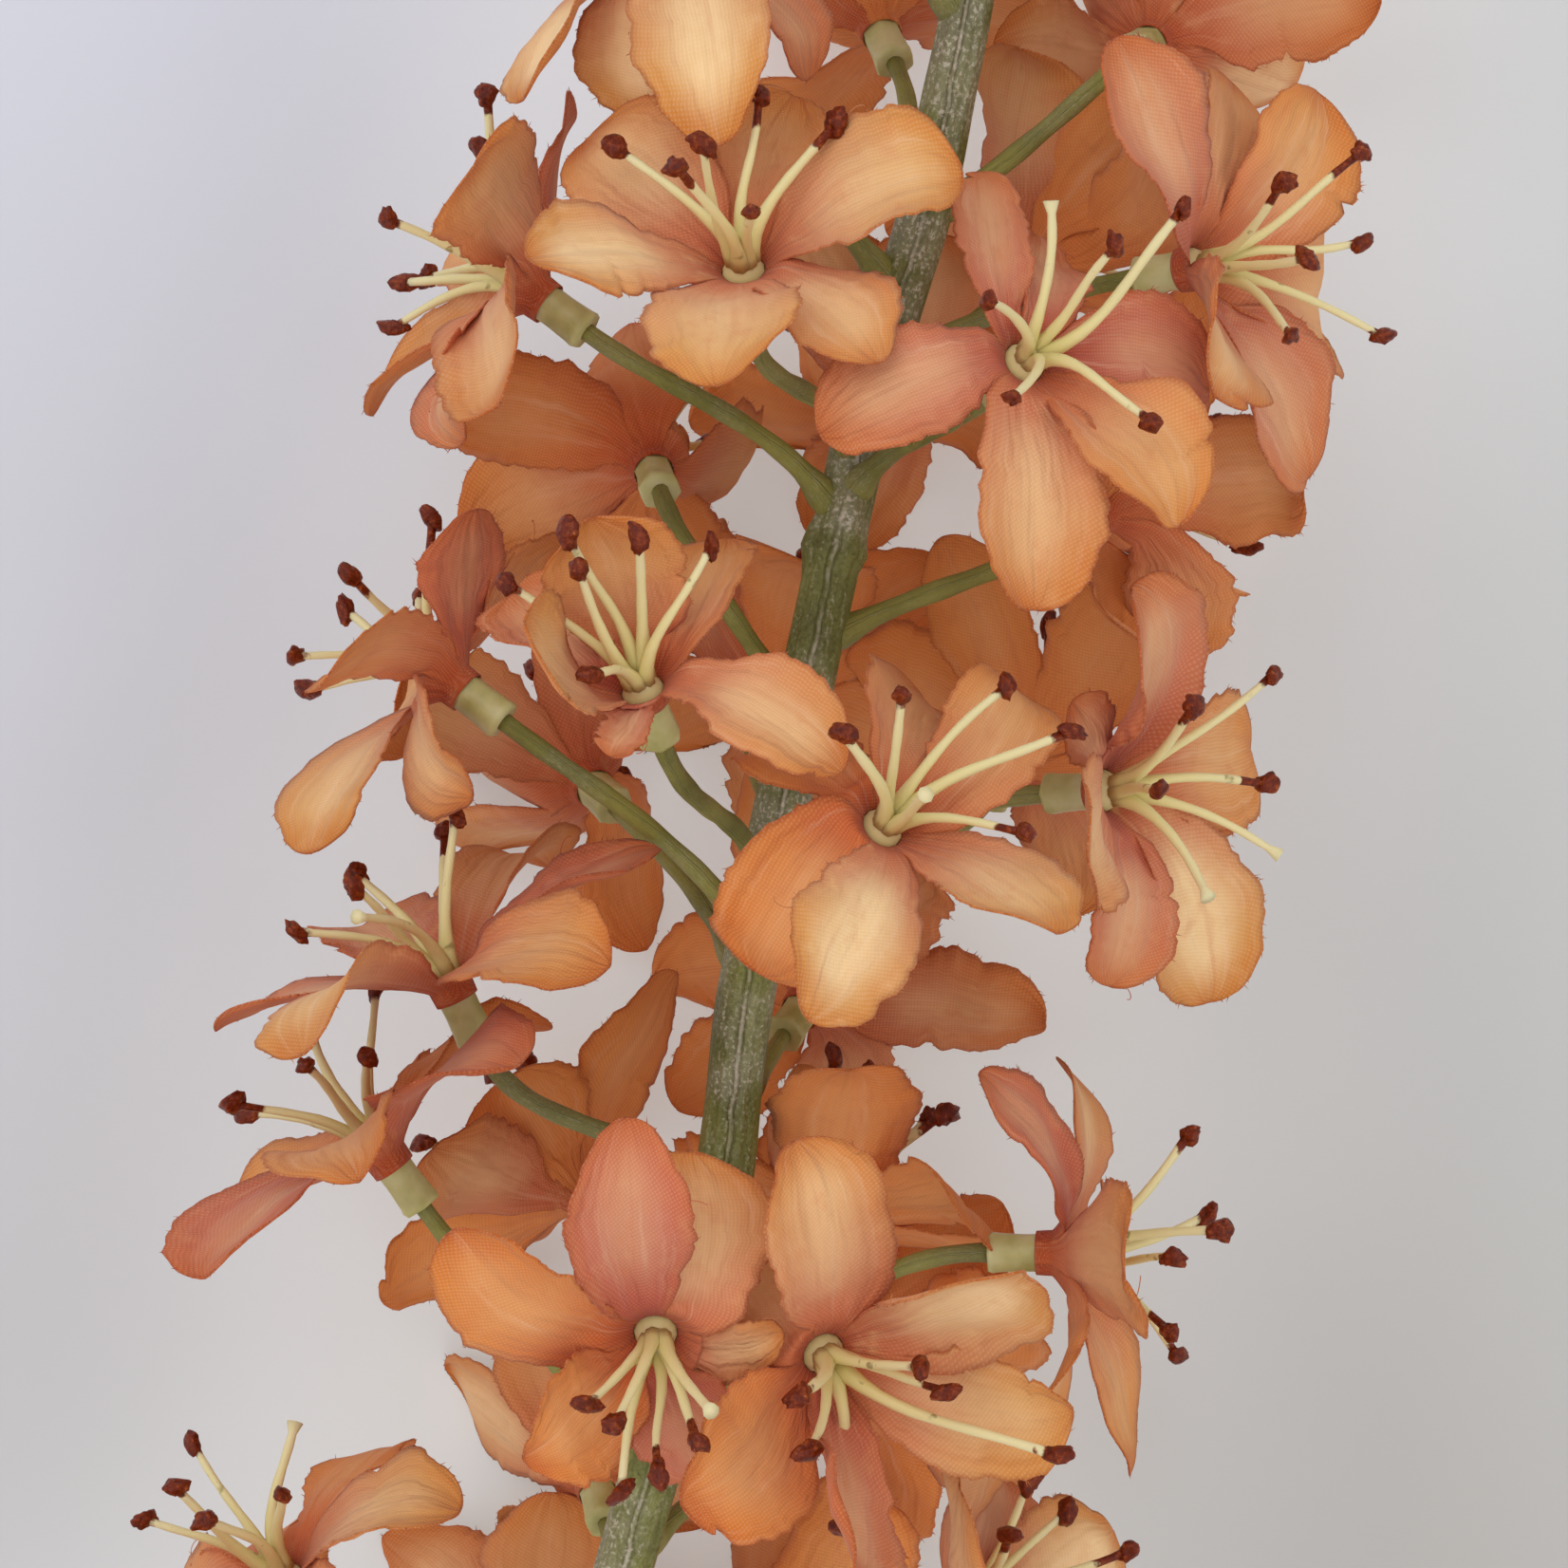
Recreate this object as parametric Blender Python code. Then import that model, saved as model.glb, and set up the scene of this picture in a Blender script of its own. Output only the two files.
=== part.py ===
"""An artificial foxtail lily flower spike, lying down.

A moulded stem carries curved pedicels, and each pedicel ends in a bloom: a sleeve, a sheet of six
petals joined at the heart, and a spray of six stamens. Unopened buds close the tip of the spike.
"""

import itertools
import math
import random

import bmesh
import bpy
import numpy as np
from mathutils.bvhtree import BVHTree

MM = 0.001

# Lengths are in millimetres. X runs along the stem from its cut end to its tip, and Z is up from
# the surface that the spike lies on.
STEM_LENGTH = 432
MIDDLE = 225
STEM_ASIDE = (
    (0, 6), (80, 2), (150, -1), (181, -2.5), (205, -0.6),
    (265, -0.3), (285, -1.8), (320, -1), (370, 2), (STEM_LENGTH, 6),
)
STEM_HEIGHT = (
    (0, 3.4), (50, 12), (100, 28), (145, 40), (185, 44),
    (290, 44), (340, 40), (390, 30), (STEM_LENGTH, 18),
)
STEM_RADIUS = ((0, 3.2), (150, 3.0), (MIDDLE, 2.8), (300, 2.6), (400, 1.7), (STEM_LENGTH, 1.2))
STEM_SIDES = 8
STEM_RING_STEP = 18
COLLARS = (178, 249)
COLLAR_RISE = 0.6
COLLAR_HALF = 1.5

PEDICEL_RADIUS = 0.95
PEDICEL_SIDES = 4
PEDICEL_RINGS = 4
SEAT_GAP = 0.3

SLEEVE_RADIUS = 2.1
SLEEVE_LENGTH = 6.5
RIM_RADIUS = 2.6
CUP_RADIUS = 1.5
CUP_RISE = 1.1
PLACES = 6

PETAL_LENGTH = 24
PETAL_WIDTH = 12
PETAL_SHORT = 19
PETAL_THICKNESS = 0.9
PETAL_SECTIONS = (0.35, 0.68, 0.9)
PETAL_OPENING = math.radians(70)
PETAL_CUP = 0.13
PETAL_TURN = math.radians(55)

STAMEN_LENGTH = 17
STAMEN_OPENING = math.radians(36)
FILAMENT_RADIUS = 0.6
ANTHER_RADIUS = 1.3
STAMEN_TURN = math.radians(50)
STAMEN_RINGS = ((0.45, FILAMENT_RADIUS), (0.86, ANTHER_RADIUS))

# Blooms outside the photo: the lowest by their angle round the stem, the top ones on a spiral.
LOWEST_BLOOMS = ((-113, 150), (-106, 20), (-101, -75), (-92, -125))
TOP_FIRST = 96
TOP_STEP = 6.4
TOP_BLOOMS = 10
TOP_SHRINK = 0.0055
GOLDEN_TURN = 137.5
BLOOM_REACH = 33
LOWEST_HEART = 11

BUD_COUNT = 14
BUD_FIRST = 372
BUD_LENGTH = 11
BUD_RADIUS = 2.6
BUD_SIDES = 6
BUD_RINGS = ((0.12, 0.6), (0.45, 1.0), (0.8, 0.62))
BUD_STALK = 13

CLEARANCE = 0.4
ROOT_SHARE = 0.5
STAMEN_ROOT_SHARE = 0.8
HEART_DEPTH = 4
HEART_RADIUS = 3
SAG_TO_SURFACE = 9
SEED = 11

# Blooms seen best, placed one by one: heart (along from MIDDLE, aside, above the stem), the way it
# faces, petal tips and anthers as seen from above, measured from the heart, and the foot of the
# pedicel along the stem. A tip's third value is its height above the heart, and its fourth the
# petal's twist in degrees.
PLACED_BLOOMS = (
    ((47, 14, 32), (0.67, 0.24, 0.7),
     ((14, -18, 5), (-6, -15, 17), (-12, -1, 20), (-4, 20, 13), (10, 19, -10), (17, 0, -17)),
     ((9, 15), (7, 8), (10, 6), (17, 2), (16, -6), (4, 0)), 33),
    ((44, -14, 31), (0.48, -0.36, 0.8),
     ((-11, 18, 13), (-23, -5, 6), (-11, -19, 8), (3, -19, -8), (12, 2, -17), (17, 8, -10)),
     ((16, 1), (12, -6), (18, -12), (-4, -13), (-5, 1)), 29),
    ((6, 15, 34), (0.66, 0.4, 0.64),
     ((3, 12, 13, -60), (6, 14, -7), (15, 7, -7), (16, -5, -12), (-4, -20, 11), (-7, 1, 17)),
     ((4, 15), (13, 10), (14, 3), (15, -4), (0, 5, 11), (10, 8, 11)), -11),
    ((-2, -10, 36), (0.58, -0.34, 0.74),
     ((-18, 5, 15), (-7, -17, 15), (-17, 9, 3), (13, -1, -17), (5, 13, -13), (18, -10, -13)),
     ((8, 6), (20, -2), (16, -9), (13, -16), (1, -7), (4, -3)), -16),
    ((-52, -15, 34), (-0.26, -0.46, 0.85),
     ((20, 7, 12), (13, -15, 13), (0, -24, 5), (-17, -5, 16), (-16, 9, 14), (8, 11, -2)),
     ((2, -9), (0, -12), (-4, -24), (-17, -5), (-8, 0), (-3, 2)), -45),
    ((-53, 1, 39), (-0.54, -0.11, 0.83),
     ((20, 7, 10), (5, 21, 10), (-13, 9, 6), (-12, -10, 8), (18, -1, 3), (2, -12, -6)),
     ((-7, 5), (-8, 2), (-15, 0), (-12, -3), (-5, -7), (-8, -6)), -48),
    ((42, 34, 10), (0.4, 0.88, -0.2),
     ((9, 7, 21), (19, 0, -14), (-12, -2, 13), (-16, 6, 8), (-14, 15, -14), (8, 11, -20)),
     ((4, 16), (-1, 14), (-6, 14), (19, 9), (0, 12)), 27),
    ((58, -29, 12), (0.28, -0.8, 0.53),
     ((19, 13, 6), (20, -9, -9), (2, -14, -19), (-16, -14, -10), (-13, -5, 19), (21, 0, -14)),
     ((15, -14), (6, -16), (-3, -20), (-6, -10), (9, -6), (2, -10)), 42),
    ((6, -31, 14), (0.23, -0.82, 0.53),
     ((19, 1, 14), (6, -14, -18), (-18, -14, -6, 60), (-19, -4, 5), (-8, 3, 20), (13, 3, 15)),
     ((15, -14), (4, -16), (-3, -19), (-9, -12), (10, -6), (1, -4)), -10),
    ((-26, 28, 12), (0.78, 0.6, 0.15),
     ((-10, 20, -7), (-7, 12, 17), (3, 11, -21), (14, -6, -18), (16, -17, -6), (6, -14, 17)),
     ((2, 16), (8, 11), (15, 4), (17, 3), (5, 10)), -43),
    ((-44, 31, 8), (0.66, 0.72, 0.15),
     ((-13, 14, -10), (-14, 12, 11), (-1, 1, 21), (17, -12, -6), (13, -11, 10), (2, 0, -21)),
     ((3, 13), (8, 9), (6, 8), (10, 3)), -71),
    ((-40, -36, 4), (0.21, -0.97, 0.15),
     ((16, 12, 11), (19, 3, -10), (2, -7, 20), (-21, -12, -6), (-16, -1, 12), (0, -6, -21)),
     ((15, -11), (7, -15), (6, -16), (-4, -18), (4, -14)), -65),
    ((3, 34, 8), (0.42, 0.88, -0.2),
     ((17, 1, 8), (-3, 10, 20), (-19, 10, 4, -60), (-12, -3, 12), (16, -4, -13), (-8, 7, -19)),
     ((5, 13), (2, 10), (-4, 15), (8, 6)), -16),
    ((-87, 32, 14), (0.66, 0.62, 0.42),
     ((14, -9, -14), (13, -16, 11), (-3, -1, -23), (-14, 12, -15), (-7, 13, 18), (-6, -6, 18)),
     ((8, 12), (14, -1), (10, 1), (0, 13), (6, 8)), -104),
    ((75, 28, 12), (0.82, 0.54, 0.2), ((-17, 9), (-15, -2), (-16, -10), (-6, -17), (4, 14)), (), 50),
    ((-77, -34, 8), (0.66, -0.69, 0.3), ((14, -1), (13, 4)), ((7, -11), (10, -16)), -99),
    ((29, 20, -14), (0.41, 0.24, -0.88), ((1, 22), (-11, 18), (15, 7), (11, -9), (4, -11)), (), 7),
    ((82, -21, -12), (0.37, -0.28, -0.89), ((-1, 15), (0, -16), (-8, -8), (12, 11), (17, -4)), (), 58),
    ((58, -14, -18), (0.56, -0.3, -0.78), ((22, 6), (10, -9), (22, -2), (-17, 3)), ((18, 1),), 38),
    ((79, 7, -22), (0.6, 0.4, -0.65), ((-2, 11), (-14, 7)), (), 54),
    ((40, -1, -29), (0.65, 0.1, -0.75), ((11, 9), (-12, 12), (-15, 2)), (), 20),
    ((34, -26, -12), (0.55, -0.54, -0.64), ((-14, -11), (-4, -13), (-15, -5)), ((10, -13), (12, -10)), 14),
    ((7, -23, -14), (0.6, -0.35, -0.72), ((20, 13), (11, 4), (18, -7), (5, 19)), ((13, 5),), -16),
    ((9, 3, -29), (0.6, -0.1, -0.78), ((14, -1), (-10, 15)), (), -6),
    ((-4, 20, -22), (0.3, 0.55, -0.78), ((-10, 10), (-3, 14), (-16, -8)), (), -20),
    ((-22, -7, -28), (0.55, -0.25, -0.8), ((-14, 10), (-2, 15), (-16, -8)), (), -40),
    ((-43, -13, -10), (0.89, -0.18, -0.42), ((9, 3), (6, -16), (8, 10)),
     ((16, 8), (13, 0), (13, -9), (6, -7)), -58),
    ((-46, 12, -20), (0.35, 0.75, -0.55), ((11, 9), (2, 13), (14, -1)), ((11, 12),), -60),
    ((-76, 4, -28), (0.5, 0.3, -0.8), ((-10, 9), (-12, 0), (-5, -12), (9, 11)), (), -92),
    ((-60, -20, -24), (0.45, -0.55, -0.7), (), (), -80),
)


def smooth(table, x):
    """The value at x of a smooth curve through a table of (place, value)."""
    places = [row[0] for row in table]
    values = [row[1] for row in table]
    last = len(table) - 1
    i = min(max(np.searchsorted(places, x) - 1, 0), last - 1)

    def slope(j):
        a, b = max(j - 1, 0), min(j + 1, last)
        return (values[b] - values[a]) / (places[b] - places[a])

    span = places[i + 1] - places[i]
    t = (x - places[i]) / span
    return (
        values[i] * (1 + 2 * t) * (1 - t) ** 2
        + values[i + 1] * t * t * (3 - 2 * t)
        + slope(i) * span * t * (1 - t) ** 2
        + slope(i + 1) * span * t * t * (t - 1)
    )


def stem_point(x):
    return np.array([x, smooth(STEM_ASIDE, x), smooth(STEM_HEIGHT, x)])


def stem_radius(x):
    near = min(abs(x - collar) for collar in COLLARS)
    return smooth(STEM_RADIUS, x) + (COLLAR_RISE if near < COLLAR_HALF else 0)


def unit(v):
    return v / np.linalg.norm(v)


def bezier(controls, s):
    """Points of a cubic curve at the shares s of its length."""
    s = np.asarray(s, float)[..., None]
    a, b, c, d = controls
    return (
        a * (1 - s) ** 3 + b * 3 * s * (1 - s) ** 2 + c * 3 * s * s * (1 - s) + d * s**3
    )


def bezier_direction(controls, s):
    s = np.asarray(s, float)[..., None]
    a, b, c, d = controls
    v = (b - a) * (1 - s) ** 2 + (c - b) * 2 * s * (1 - s) + (d - c) * s * s
    return v / np.linalg.norm(v, axis=-1, keepdims=True)


class Bloom:
    """A bloom's place: its heart, the way it faces, and the directions round that axis."""

    def __init__(self, heart, facing, petals=(), stamens=(), foot=None, size=1.0):
        self.heart = np.array(heart, float)
        self.facing = unit(np.array(facing, float))
        self.across = unit(np.cross(self.facing, (1.0, 0.13, 0.05)))
        self.up = np.cross(self.facing, self.across)
        self.size = size
        self.foot = foot
        self.petal_tips = self.offsets(petals, PETAL_LENGTH * size, PETAL_OPENING)
        self.twists = [math.radians(tip[3] if len(tip) > 3 else 0) for tip in petals]
        self.stamen_tips = self.offsets(stamens, STAMEN_LENGTH * size, STAMEN_OPENING)

    def offsets(self, seen, length, opening):
        """Tips as seen from above, each at the height that gives it its length and its opening."""
        found = []
        for tip in seen:
            reach = math.hypot(tip[0], tip[1])
            depth = math.sqrt(max(length**2 - reach**2, 0))
            heights = tip[2:3] or (depth, -depth)
            choices = [np.array([tip[0], tip[1], h], float) for h in heights]
            found.append(
                min(choices, key=lambda v: abs(unit(v) @ self.facing - math.cos(opening)))
            )
        return found

    def azimuth(self, offset):
        return math.atan2(offset @ self.up, offset @ self.across)

    def radial(self, azimuth):
        return self.across * math.cos(azimuth) + self.up * math.sin(azimuth)

    def direction(self, azimuth, opening):
        return self.facing * math.cos(opening) + self.radial(azimuth) * math.sin(opening)


def turn_between(a, b):
    return abs((a - b + math.pi) % (2 * math.pi) - math.pi)


def share_places(bloom, tips, first, most):
    """The seen tips set on the six places round the heart, in their order; the rest are None.

    first is the azimuth of place 0, or None where the tips settle it. It returns it with the list.
    A tip that is more than most out of its place is left out, or it would cross its neighbours."""
    step = 2 * math.pi / PLACES
    turns = [step * k / 12 for k in range(12)] if first is None else [first]
    angles = sorted((bloom.azimuth(tip), i) for i, tip in enumerate(tips))
    best = (math.inf, 0, [None] * PLACES)
    for turn in turns:
        for chosen in itertools.combinations(range(PLACES), len(tips)):
            for shift in range(max(len(tips), 1)):
                order = angles[shift:] + angles[:shift]
                cost = sum(
                    turn_between(angle, turn + step * place) ** 2
                    for (angle, _), place in zip(order, chosen)
                )
                if cost < best[0]:
                    held = [None] * PLACES
                    for (_, i), place in zip(order, chosen):
                        held[place] = tips[i]
                    best = (cost, turn, held)
    _, turn, held = best
    for place, tip in enumerate(held):
        if tip is not None and turn_between(bloom.azimuth(tip), turn + step * place) > most:
            held[place] = None
    return turn, held


class Petal:
    """One petal: a curved centre line, the way its width lies, and its width and cup."""

    def __init__(self, bloom, azimuth, tip, width, curl, twist):
        length = np.linalg.norm(tip)
        out = bloom.radial(azimuth)
        start = bloom.heart + out * RIM_RADIUS * 0.85
        end = bloom.heart + tip
        rise = start + 0.3 * length * unit(out * 0.8 + bloom.facing * 0.6)
        over = end - 0.3 * length * unit(unit(end - rise) - curl * bloom.facing)
        self.controls = (start, rise, over, end)
        self.facing = bloom.facing
        self.width_root = np.cross(bloom.facing, out)
        far = np.cross(bloom.facing, unit(tip))
        far = unit(far) if np.linalg.norm(far) > 0.2 else self.width_root
        turned = np.cross(unit(tip), far)
        self.width_tip = far * math.cos(twist) + turned * math.sin(twist)
        self.half_width = width / 2 * min(1, length / (PETAL_SHORT * bloom.size))

    def frame(self, s):
        """Centre points, width directions and face normals at the shares s."""
        s = np.asarray(s, float)
        point = bezier(self.controls, s)
        along = bezier_direction(self.controls, s)
        across = self.width_root * (1 - s[:, None]) + self.width_tip * s[:, None]
        across -= along * (across * along).sum(axis=1, keepdims=True)
        across /= np.linalg.norm(across, axis=1, keepdims=True)
        return point, across, np.cross(along, across)

    def half(self, s):
        """Half the width at the shares s: narrow at the root, widest past the middle, round-ended."""
        s = np.asarray(s, float)
        body = np.sin(math.pi * np.clip(s, 0, 1) ** 1.7).clip(0) ** 0.65
        return self.half_width * (0.24 * (1 - s) + body)


def pressed(points, lowest):
    """The points with none lower than this above the surface."""
    points = points.copy()
    points[:, 2] = np.maximum(points[:, 2], lowest)
    return points


def blade(petal, sections, spread):
    """Left, top, right and bottom points at each section, and the tip, spread by a clearance."""
    at = np.array(sections)
    point, across, normal = petal.frame(at)
    half = (petal.half(at) + spread)[:, None]
    lift = normal * PETAL_CUP * half
    thick = normal * (PETAL_THICKNESS / 2 + spread)
    left = pressed(point - across * half + lift, 0)
    right = pressed(point + across * half + lift, 0)
    top, bottom = point + thick, point - thick
    swap = top[:, 2] < bottom[:, 2]
    high = np.where(swap[:, None], bottom, top)
    low = pressed(np.where(swap[:, None], top, bottom), 0)
    high[:, 2] = np.maximum(high[:, 2], low[:, 2] + 0.8 * PETAL_THICKNESS)
    top = np.where(swap[:, None], low, high)
    bottom = np.where(swap[:, None], high, low)
    tip = petal.controls[3] + unit(petal.controls[3] - petal.controls[2]) * spread
    return left, top, right, bottom, pressed(tip[None], 0)[0]


class Stamen:
    """One stamen: a curved filament that ends in an anther."""

    def __init__(self, bloom, azimuth, tip):
        out = bloom.radial(azimuth)
        length = np.linalg.norm(tip)
        start = bloom.heart + bloom.facing * CUP_RISE + out * CUP_RADIUS * 0.5
        end = bloom.heart + tip
        rise = start + 0.35 * length * unit(bloom.facing + 0.25 * out)
        over = end - 0.3 * length * unit(unit(end - rise) + 0.15 * bloom.facing)
        self.controls = (start, rise, over, end)
        self.out = out

    def ring(self, at, radius):
        """Three points round the filament: the inner one and the two outer ones."""
        point = bezier(self.controls, at)
        side = self.out
        for s in np.linspace(0, at, 5):
            along = bezier_direction(self.controls, s)
            side = unit(side - along * (side @ along))
        across = np.cross(along, side)
        lobes = (-side, side * 0.5 - across * 0.87, side * 0.5 + across * 0.87)
        return pressed(np.array([point + lobe * radius for lobe in lobes]), 0)

    def apex(self, spread=0):
        end = self.controls[3] + unit(self.controls[3] - self.controls[2]) * spread
        return pressed(end[None], 0.3)[0]


class Shells:
    """The pieces placed so far, as closed shells a little larger than life.

    A shell with an owner is met by all pieces but those of that bloom."""

    def __init__(self):
        self.held = []

    def hit(self, shell, bloom=None):
        low, high, tree = shell
        for (other_low, other_high, other), owner in self.held:
            if owner is not None and owner is bloom:
                continue
            if (low < other_high).all() and (other_low < high).all() and tree.overlap(other):
                return True
        return False

    def add(self, shell, owner=None):
        self.held.append((shell, owner))


def closed_shell(points, faces):
    points = np.array(points)
    tree = BVHTree.FromPolygons(points.tolist(), faces)
    return points.min(axis=0), points.max(axis=0), tree


def tube_faces(rings, sides, tips):
    """Faces of a tube of rings, closed at its start by a fan and at its end by a fan or a tip."""
    faces = []
    for r in range(rings - 1):
        for k in range(sides):
            a, b = r * sides + k, r * sides + (k + 1) % sides
            faces += [(a, b, b + sides), (a, b + sides, a + sides)]
    faces += [(0, k + 1, k) for k in range(1, sides - 1)]
    last = (rings - 1) * sides
    if tips:
        faces += [(last + k, last + (k + 1) % sides, rings * sides) for k in range(sides)]
    else:
        faces += [(last, last + k, last + k + 1) for k in range(1, sides - 1)]
    return faces


def petal_shell(petal):
    """A petal from just past its root, with its clearance, as one closed shell."""
    left, top, right, bottom, tip = blade(petal, (0, *PETAL_SECTIONS), CLEARANCE)
    rings = np.array(list(zip(left, top, right, bottom)))
    rings[0] += (rings[1] - rings[0]) * ROOT_SHARE
    points = [*rings.reshape(-1, 3), tip]
    return closed_shell(points, tube_faces(len(rings), 4, True))


def stamen_shell(stamen):
    rings = np.array([stamen.ring(at, radius + CLEARANCE) for at, radius in STAMEN_RINGS])
    root = stamen.ring(0, FILAMENT_RADIUS + CLEARANCE)
    first = root + (rings[0] - root) * STAMEN_ROOT_SHARE
    points = [*first, *rings.reshape(-1, 3), stamen.apex(CLEARANCE)]
    return closed_shell(points, tube_faces(len(rings) + 1, 3, True))


def tube_rings(controls, radius, sides, count):
    """Rings of points round a curve, each turned as little as the curve allows."""
    along = bezier_direction(controls, 0.0)
    side = unit(np.cross(along, (0.3, 0.2, 1.0)))
    rings = []
    for s in np.linspace(0, 1, count):
        along = bezier_direction(controls, s)
        side = unit(side - along * (side @ along))
        across = np.cross(along, side)
        angles = [2 * math.pi * k / sides for k in range(sides)]
        point = bezier(controls, s)
        rings.append(
            [point + radius * (side * math.cos(a) + across * math.sin(a)) for a in angles]
        )
    return rings


def sleeve_end(bloom):
    return bloom.heart - bloom.facing * SLEEVE_LENGTH


def straight(start, end):
    """The controls of a straight curve."""
    return tuple(start + (end - start) * share for share in (0, 1 / 3, 2 / 3, 1))


def rod_shell(start, end, radius):
    return closed_shell(*tube_mesh(tube_rings(straight(start, end), radius + CLEARANCE, PLACES, 2)))


def sleeve_shell(bloom):
    return rod_shell(sleeve_end(bloom), bloom.heart, SLEEVE_RADIUS)


def heart_shell(bloom):
    """The room that the joined roots of the petals and stamens take."""
    return rod_shell(bloom.heart, bloom.heart + bloom.facing * HEART_DEPTH, HEART_RADIUS)


def pedicel_curve(bloom, shift):
    """The curve of a pedicel from the stem's middle to the seat behind the sleeve."""
    foot = stem_point(MIDDLE + bloom.foot + shift)
    seat = sleeve_end(bloom) - bloom.facing * SEAT_GAP
    reach = np.linalg.norm(seat - foot)
    aside = seat - foot
    aside[0] = 0
    leave = unit(unit(aside) + np.array([0.9, 0, 0]))
    return foot, foot + leave * reach * 0.4, seat - bloom.facing * reach * 0.35, seat


def pedicel_shell(controls):
    rings = tube_rings(controls, PEDICEL_RADIUS + CLEARANCE, PEDICEL_SIDES, PEDICEL_RINGS)
    return closed_shell(*tube_mesh(rings))


def ruled_blooms(draw):
    """The blooms past the ones placed one by one: a spiral round the stem, smaller towards the tip."""
    found = []
    spiral = [(TOP_FIRST + TOP_STEP * n, 40 + GOLDEN_TURN * n) for n in range(TOP_BLOOMS)]
    for along, angle in (*LOWEST_BLOOMS, *spiral):
        size = min(1, 1 - TOP_SHRINK * (along - TOP_FIRST))
        angle = math.radians(angle + draw.uniform(-8, 8))
        out = np.array([0, math.cos(angle), math.sin(angle)])
        heart = stem_point(MIDDLE + along) + out * BLOOM_REACH * size
        heart[2] = max(heart[2], LOWEST_HEART)
        facing = out + np.array([draw.uniform(0.25, 0.6), 0, 0])
        foot = along - draw.uniform(14, 20) * size
        found.append(Bloom(heart, facing, foot=foot, size=size))
    return found


def placed_blooms():
    found = []
    for (along, aside, above), facing, petals, stamens, foot in PLACED_BLOOMS:
        x = MIDDLE + along
        heart = (x, aside, smooth(STEM_HEIGHT, x) + above)
        found.append(Bloom(heart, facing, petals, stamens, foot))
    return found


def tip_choices(bloom, tip, seen):
    """A tip, then the ways to bend it clear, the slightest first."""
    if seen:
        for height in (0, 3, -3, 6, -6, 9, -9, 12, -12, 15, -15):
            yield tip + np.array([0, 0, height])
    azimuth = bloom.azimuth(tip)
    length = np.linalg.norm(tip)
    opening = math.acos(np.clip(unit(tip) @ bloom.facing, -1, 1))
    for share in (1, 0.85, 0.7, 0.55, 0.4, 0.28):
        for lift in (0, -12, 12, -24, 24, -36):
            for swing in (0, 12, -12, 24, -24):
                turned = bloom.direction(
                    azimuth + math.radians(swing), opening + math.radians(lift)
                )
                yield turned * length * share


def sagged(bloom, tip):
    """A tip that ends just above the surface sags onto it."""
    height = bloom.heart[2] + tip[2]
    tip = tip.copy()
    if height < SAG_TO_SURFACE:
        tip[2] = -bloom.heart[2]
    return tip


def bent_clear(bloom, place, most, tip, seen, shells, build, shell_of):
    """The piece that build makes for the first tip whose shell meets nothing placed so far.

    Its tip stays within most of its place round the heart."""
    for choice in tip_choices(bloom, tip, seen):
        if turn_between(bloom.azimuth(choice), place) > most:
            continue
        piece = build(choice)
        shell = shell_of(piece)
        if not shells.hit(shell, bloom):
            break
    shells.add(shell)
    return piece


def open_bloom(bloom, shells, draw):
    """Petals and stamens for the six places round the heart, the ones seen in the photo first."""
    step = 2 * math.pi / PLACES
    bloom.turn, held = share_places(bloom, bloom.petal_tips, None, PETAL_TURN)
    if not bloom.petal_tips:
        bloom.turn = draw.uniform(0, step)
    seen_first = sorted(range(PLACES), key=lambda k: held[k] is None)
    bloom.petals = [None] * PLACES
    for k in seen_first:
        azimuth = bloom.turn + step * k
        width = PETAL_WIDTH * bloom.size * draw.uniform(0.92, 1.1)
        curl = draw.uniform(0.1, 0.5)
        opening = PETAL_OPENING + math.radians(draw.uniform(-10, 10))
        length = PETAL_LENGTH * bloom.size * draw.uniform(0.94, 1.04)
        seen = held[k] is not None
        tip = held[k] if seen else bloom.direction(azimuth, opening) * length
        twist = next((w for t, w in zip(bloom.petal_tips, bloom.twists) if t is tip), 0)

        def petal_to(choice):
            return Petal(bloom, azimuth, sagged(bloom, choice), width, curl, twist)

        bloom.petals[k] = bent_clear(
            bloom, azimuth, PETAL_TURN, tip, seen, shells, petal_to, petal_shell
        )
    _, held = share_places(bloom, bloom.stamen_tips, bloom.turn, STAMEN_TURN)
    seen_first = sorted(range(PLACES), key=lambda k: held[k] is None)
    bloom.stamens = [None] * PLACES
    for k in seen_first:
        azimuth = bloom.turn + step * k
        opening = STAMEN_OPENING + math.radians(draw.uniform(-12, 12))
        length = STAMEN_LENGTH * bloom.size * draw.uniform(0.9, 1.05)
        seen = held[k] is not None
        tip = held[k] if seen else bloom.direction(azimuth, opening) * length

        def stamen_to(choice):
            return Stamen(bloom, azimuth, choice)

        bloom.stamens[k] = bent_clear(
            bloom, azimuth, STAMEN_TURN, tip, seen, shells, stamen_to, stamen_shell
        )


def lay_out():
    """Every bloom with its pedicel, petals and stamens, all clear of each other."""
    draw = random.Random(SEED)
    blooms = placed_blooms() + ruled_blooms(draw)
    shells = Shells()
    places = range(0, STEM_LENGTH, STEM_RING_STEP // 2)
    rings = [stem_ring(x, stem_radius(x) + CLEARANCE) for x in places]
    shells.add(closed_shell(*tube_mesh(rings)))
    hearts = Shells()
    for bloom in blooms:
        hearts.add(sleeve_shell(bloom), bloom)
        hearts.add(heart_shell(bloom), bloom)
    for bloom in blooms:
        for shift in (0, 3, -3, 6, -6, 9, -9, 12, -12):
            bloom.pedicel = pedicel_curve(bloom, shift)
            shell = pedicel_shell(bloom.pedicel)
            if not hearts.hit(shell, bloom):
                break
        shells.add(shell)
    shells.held += hearts.held
    for bloom in blooms:
        open_bloom(bloom, shells, draw)
    return blooms


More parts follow.
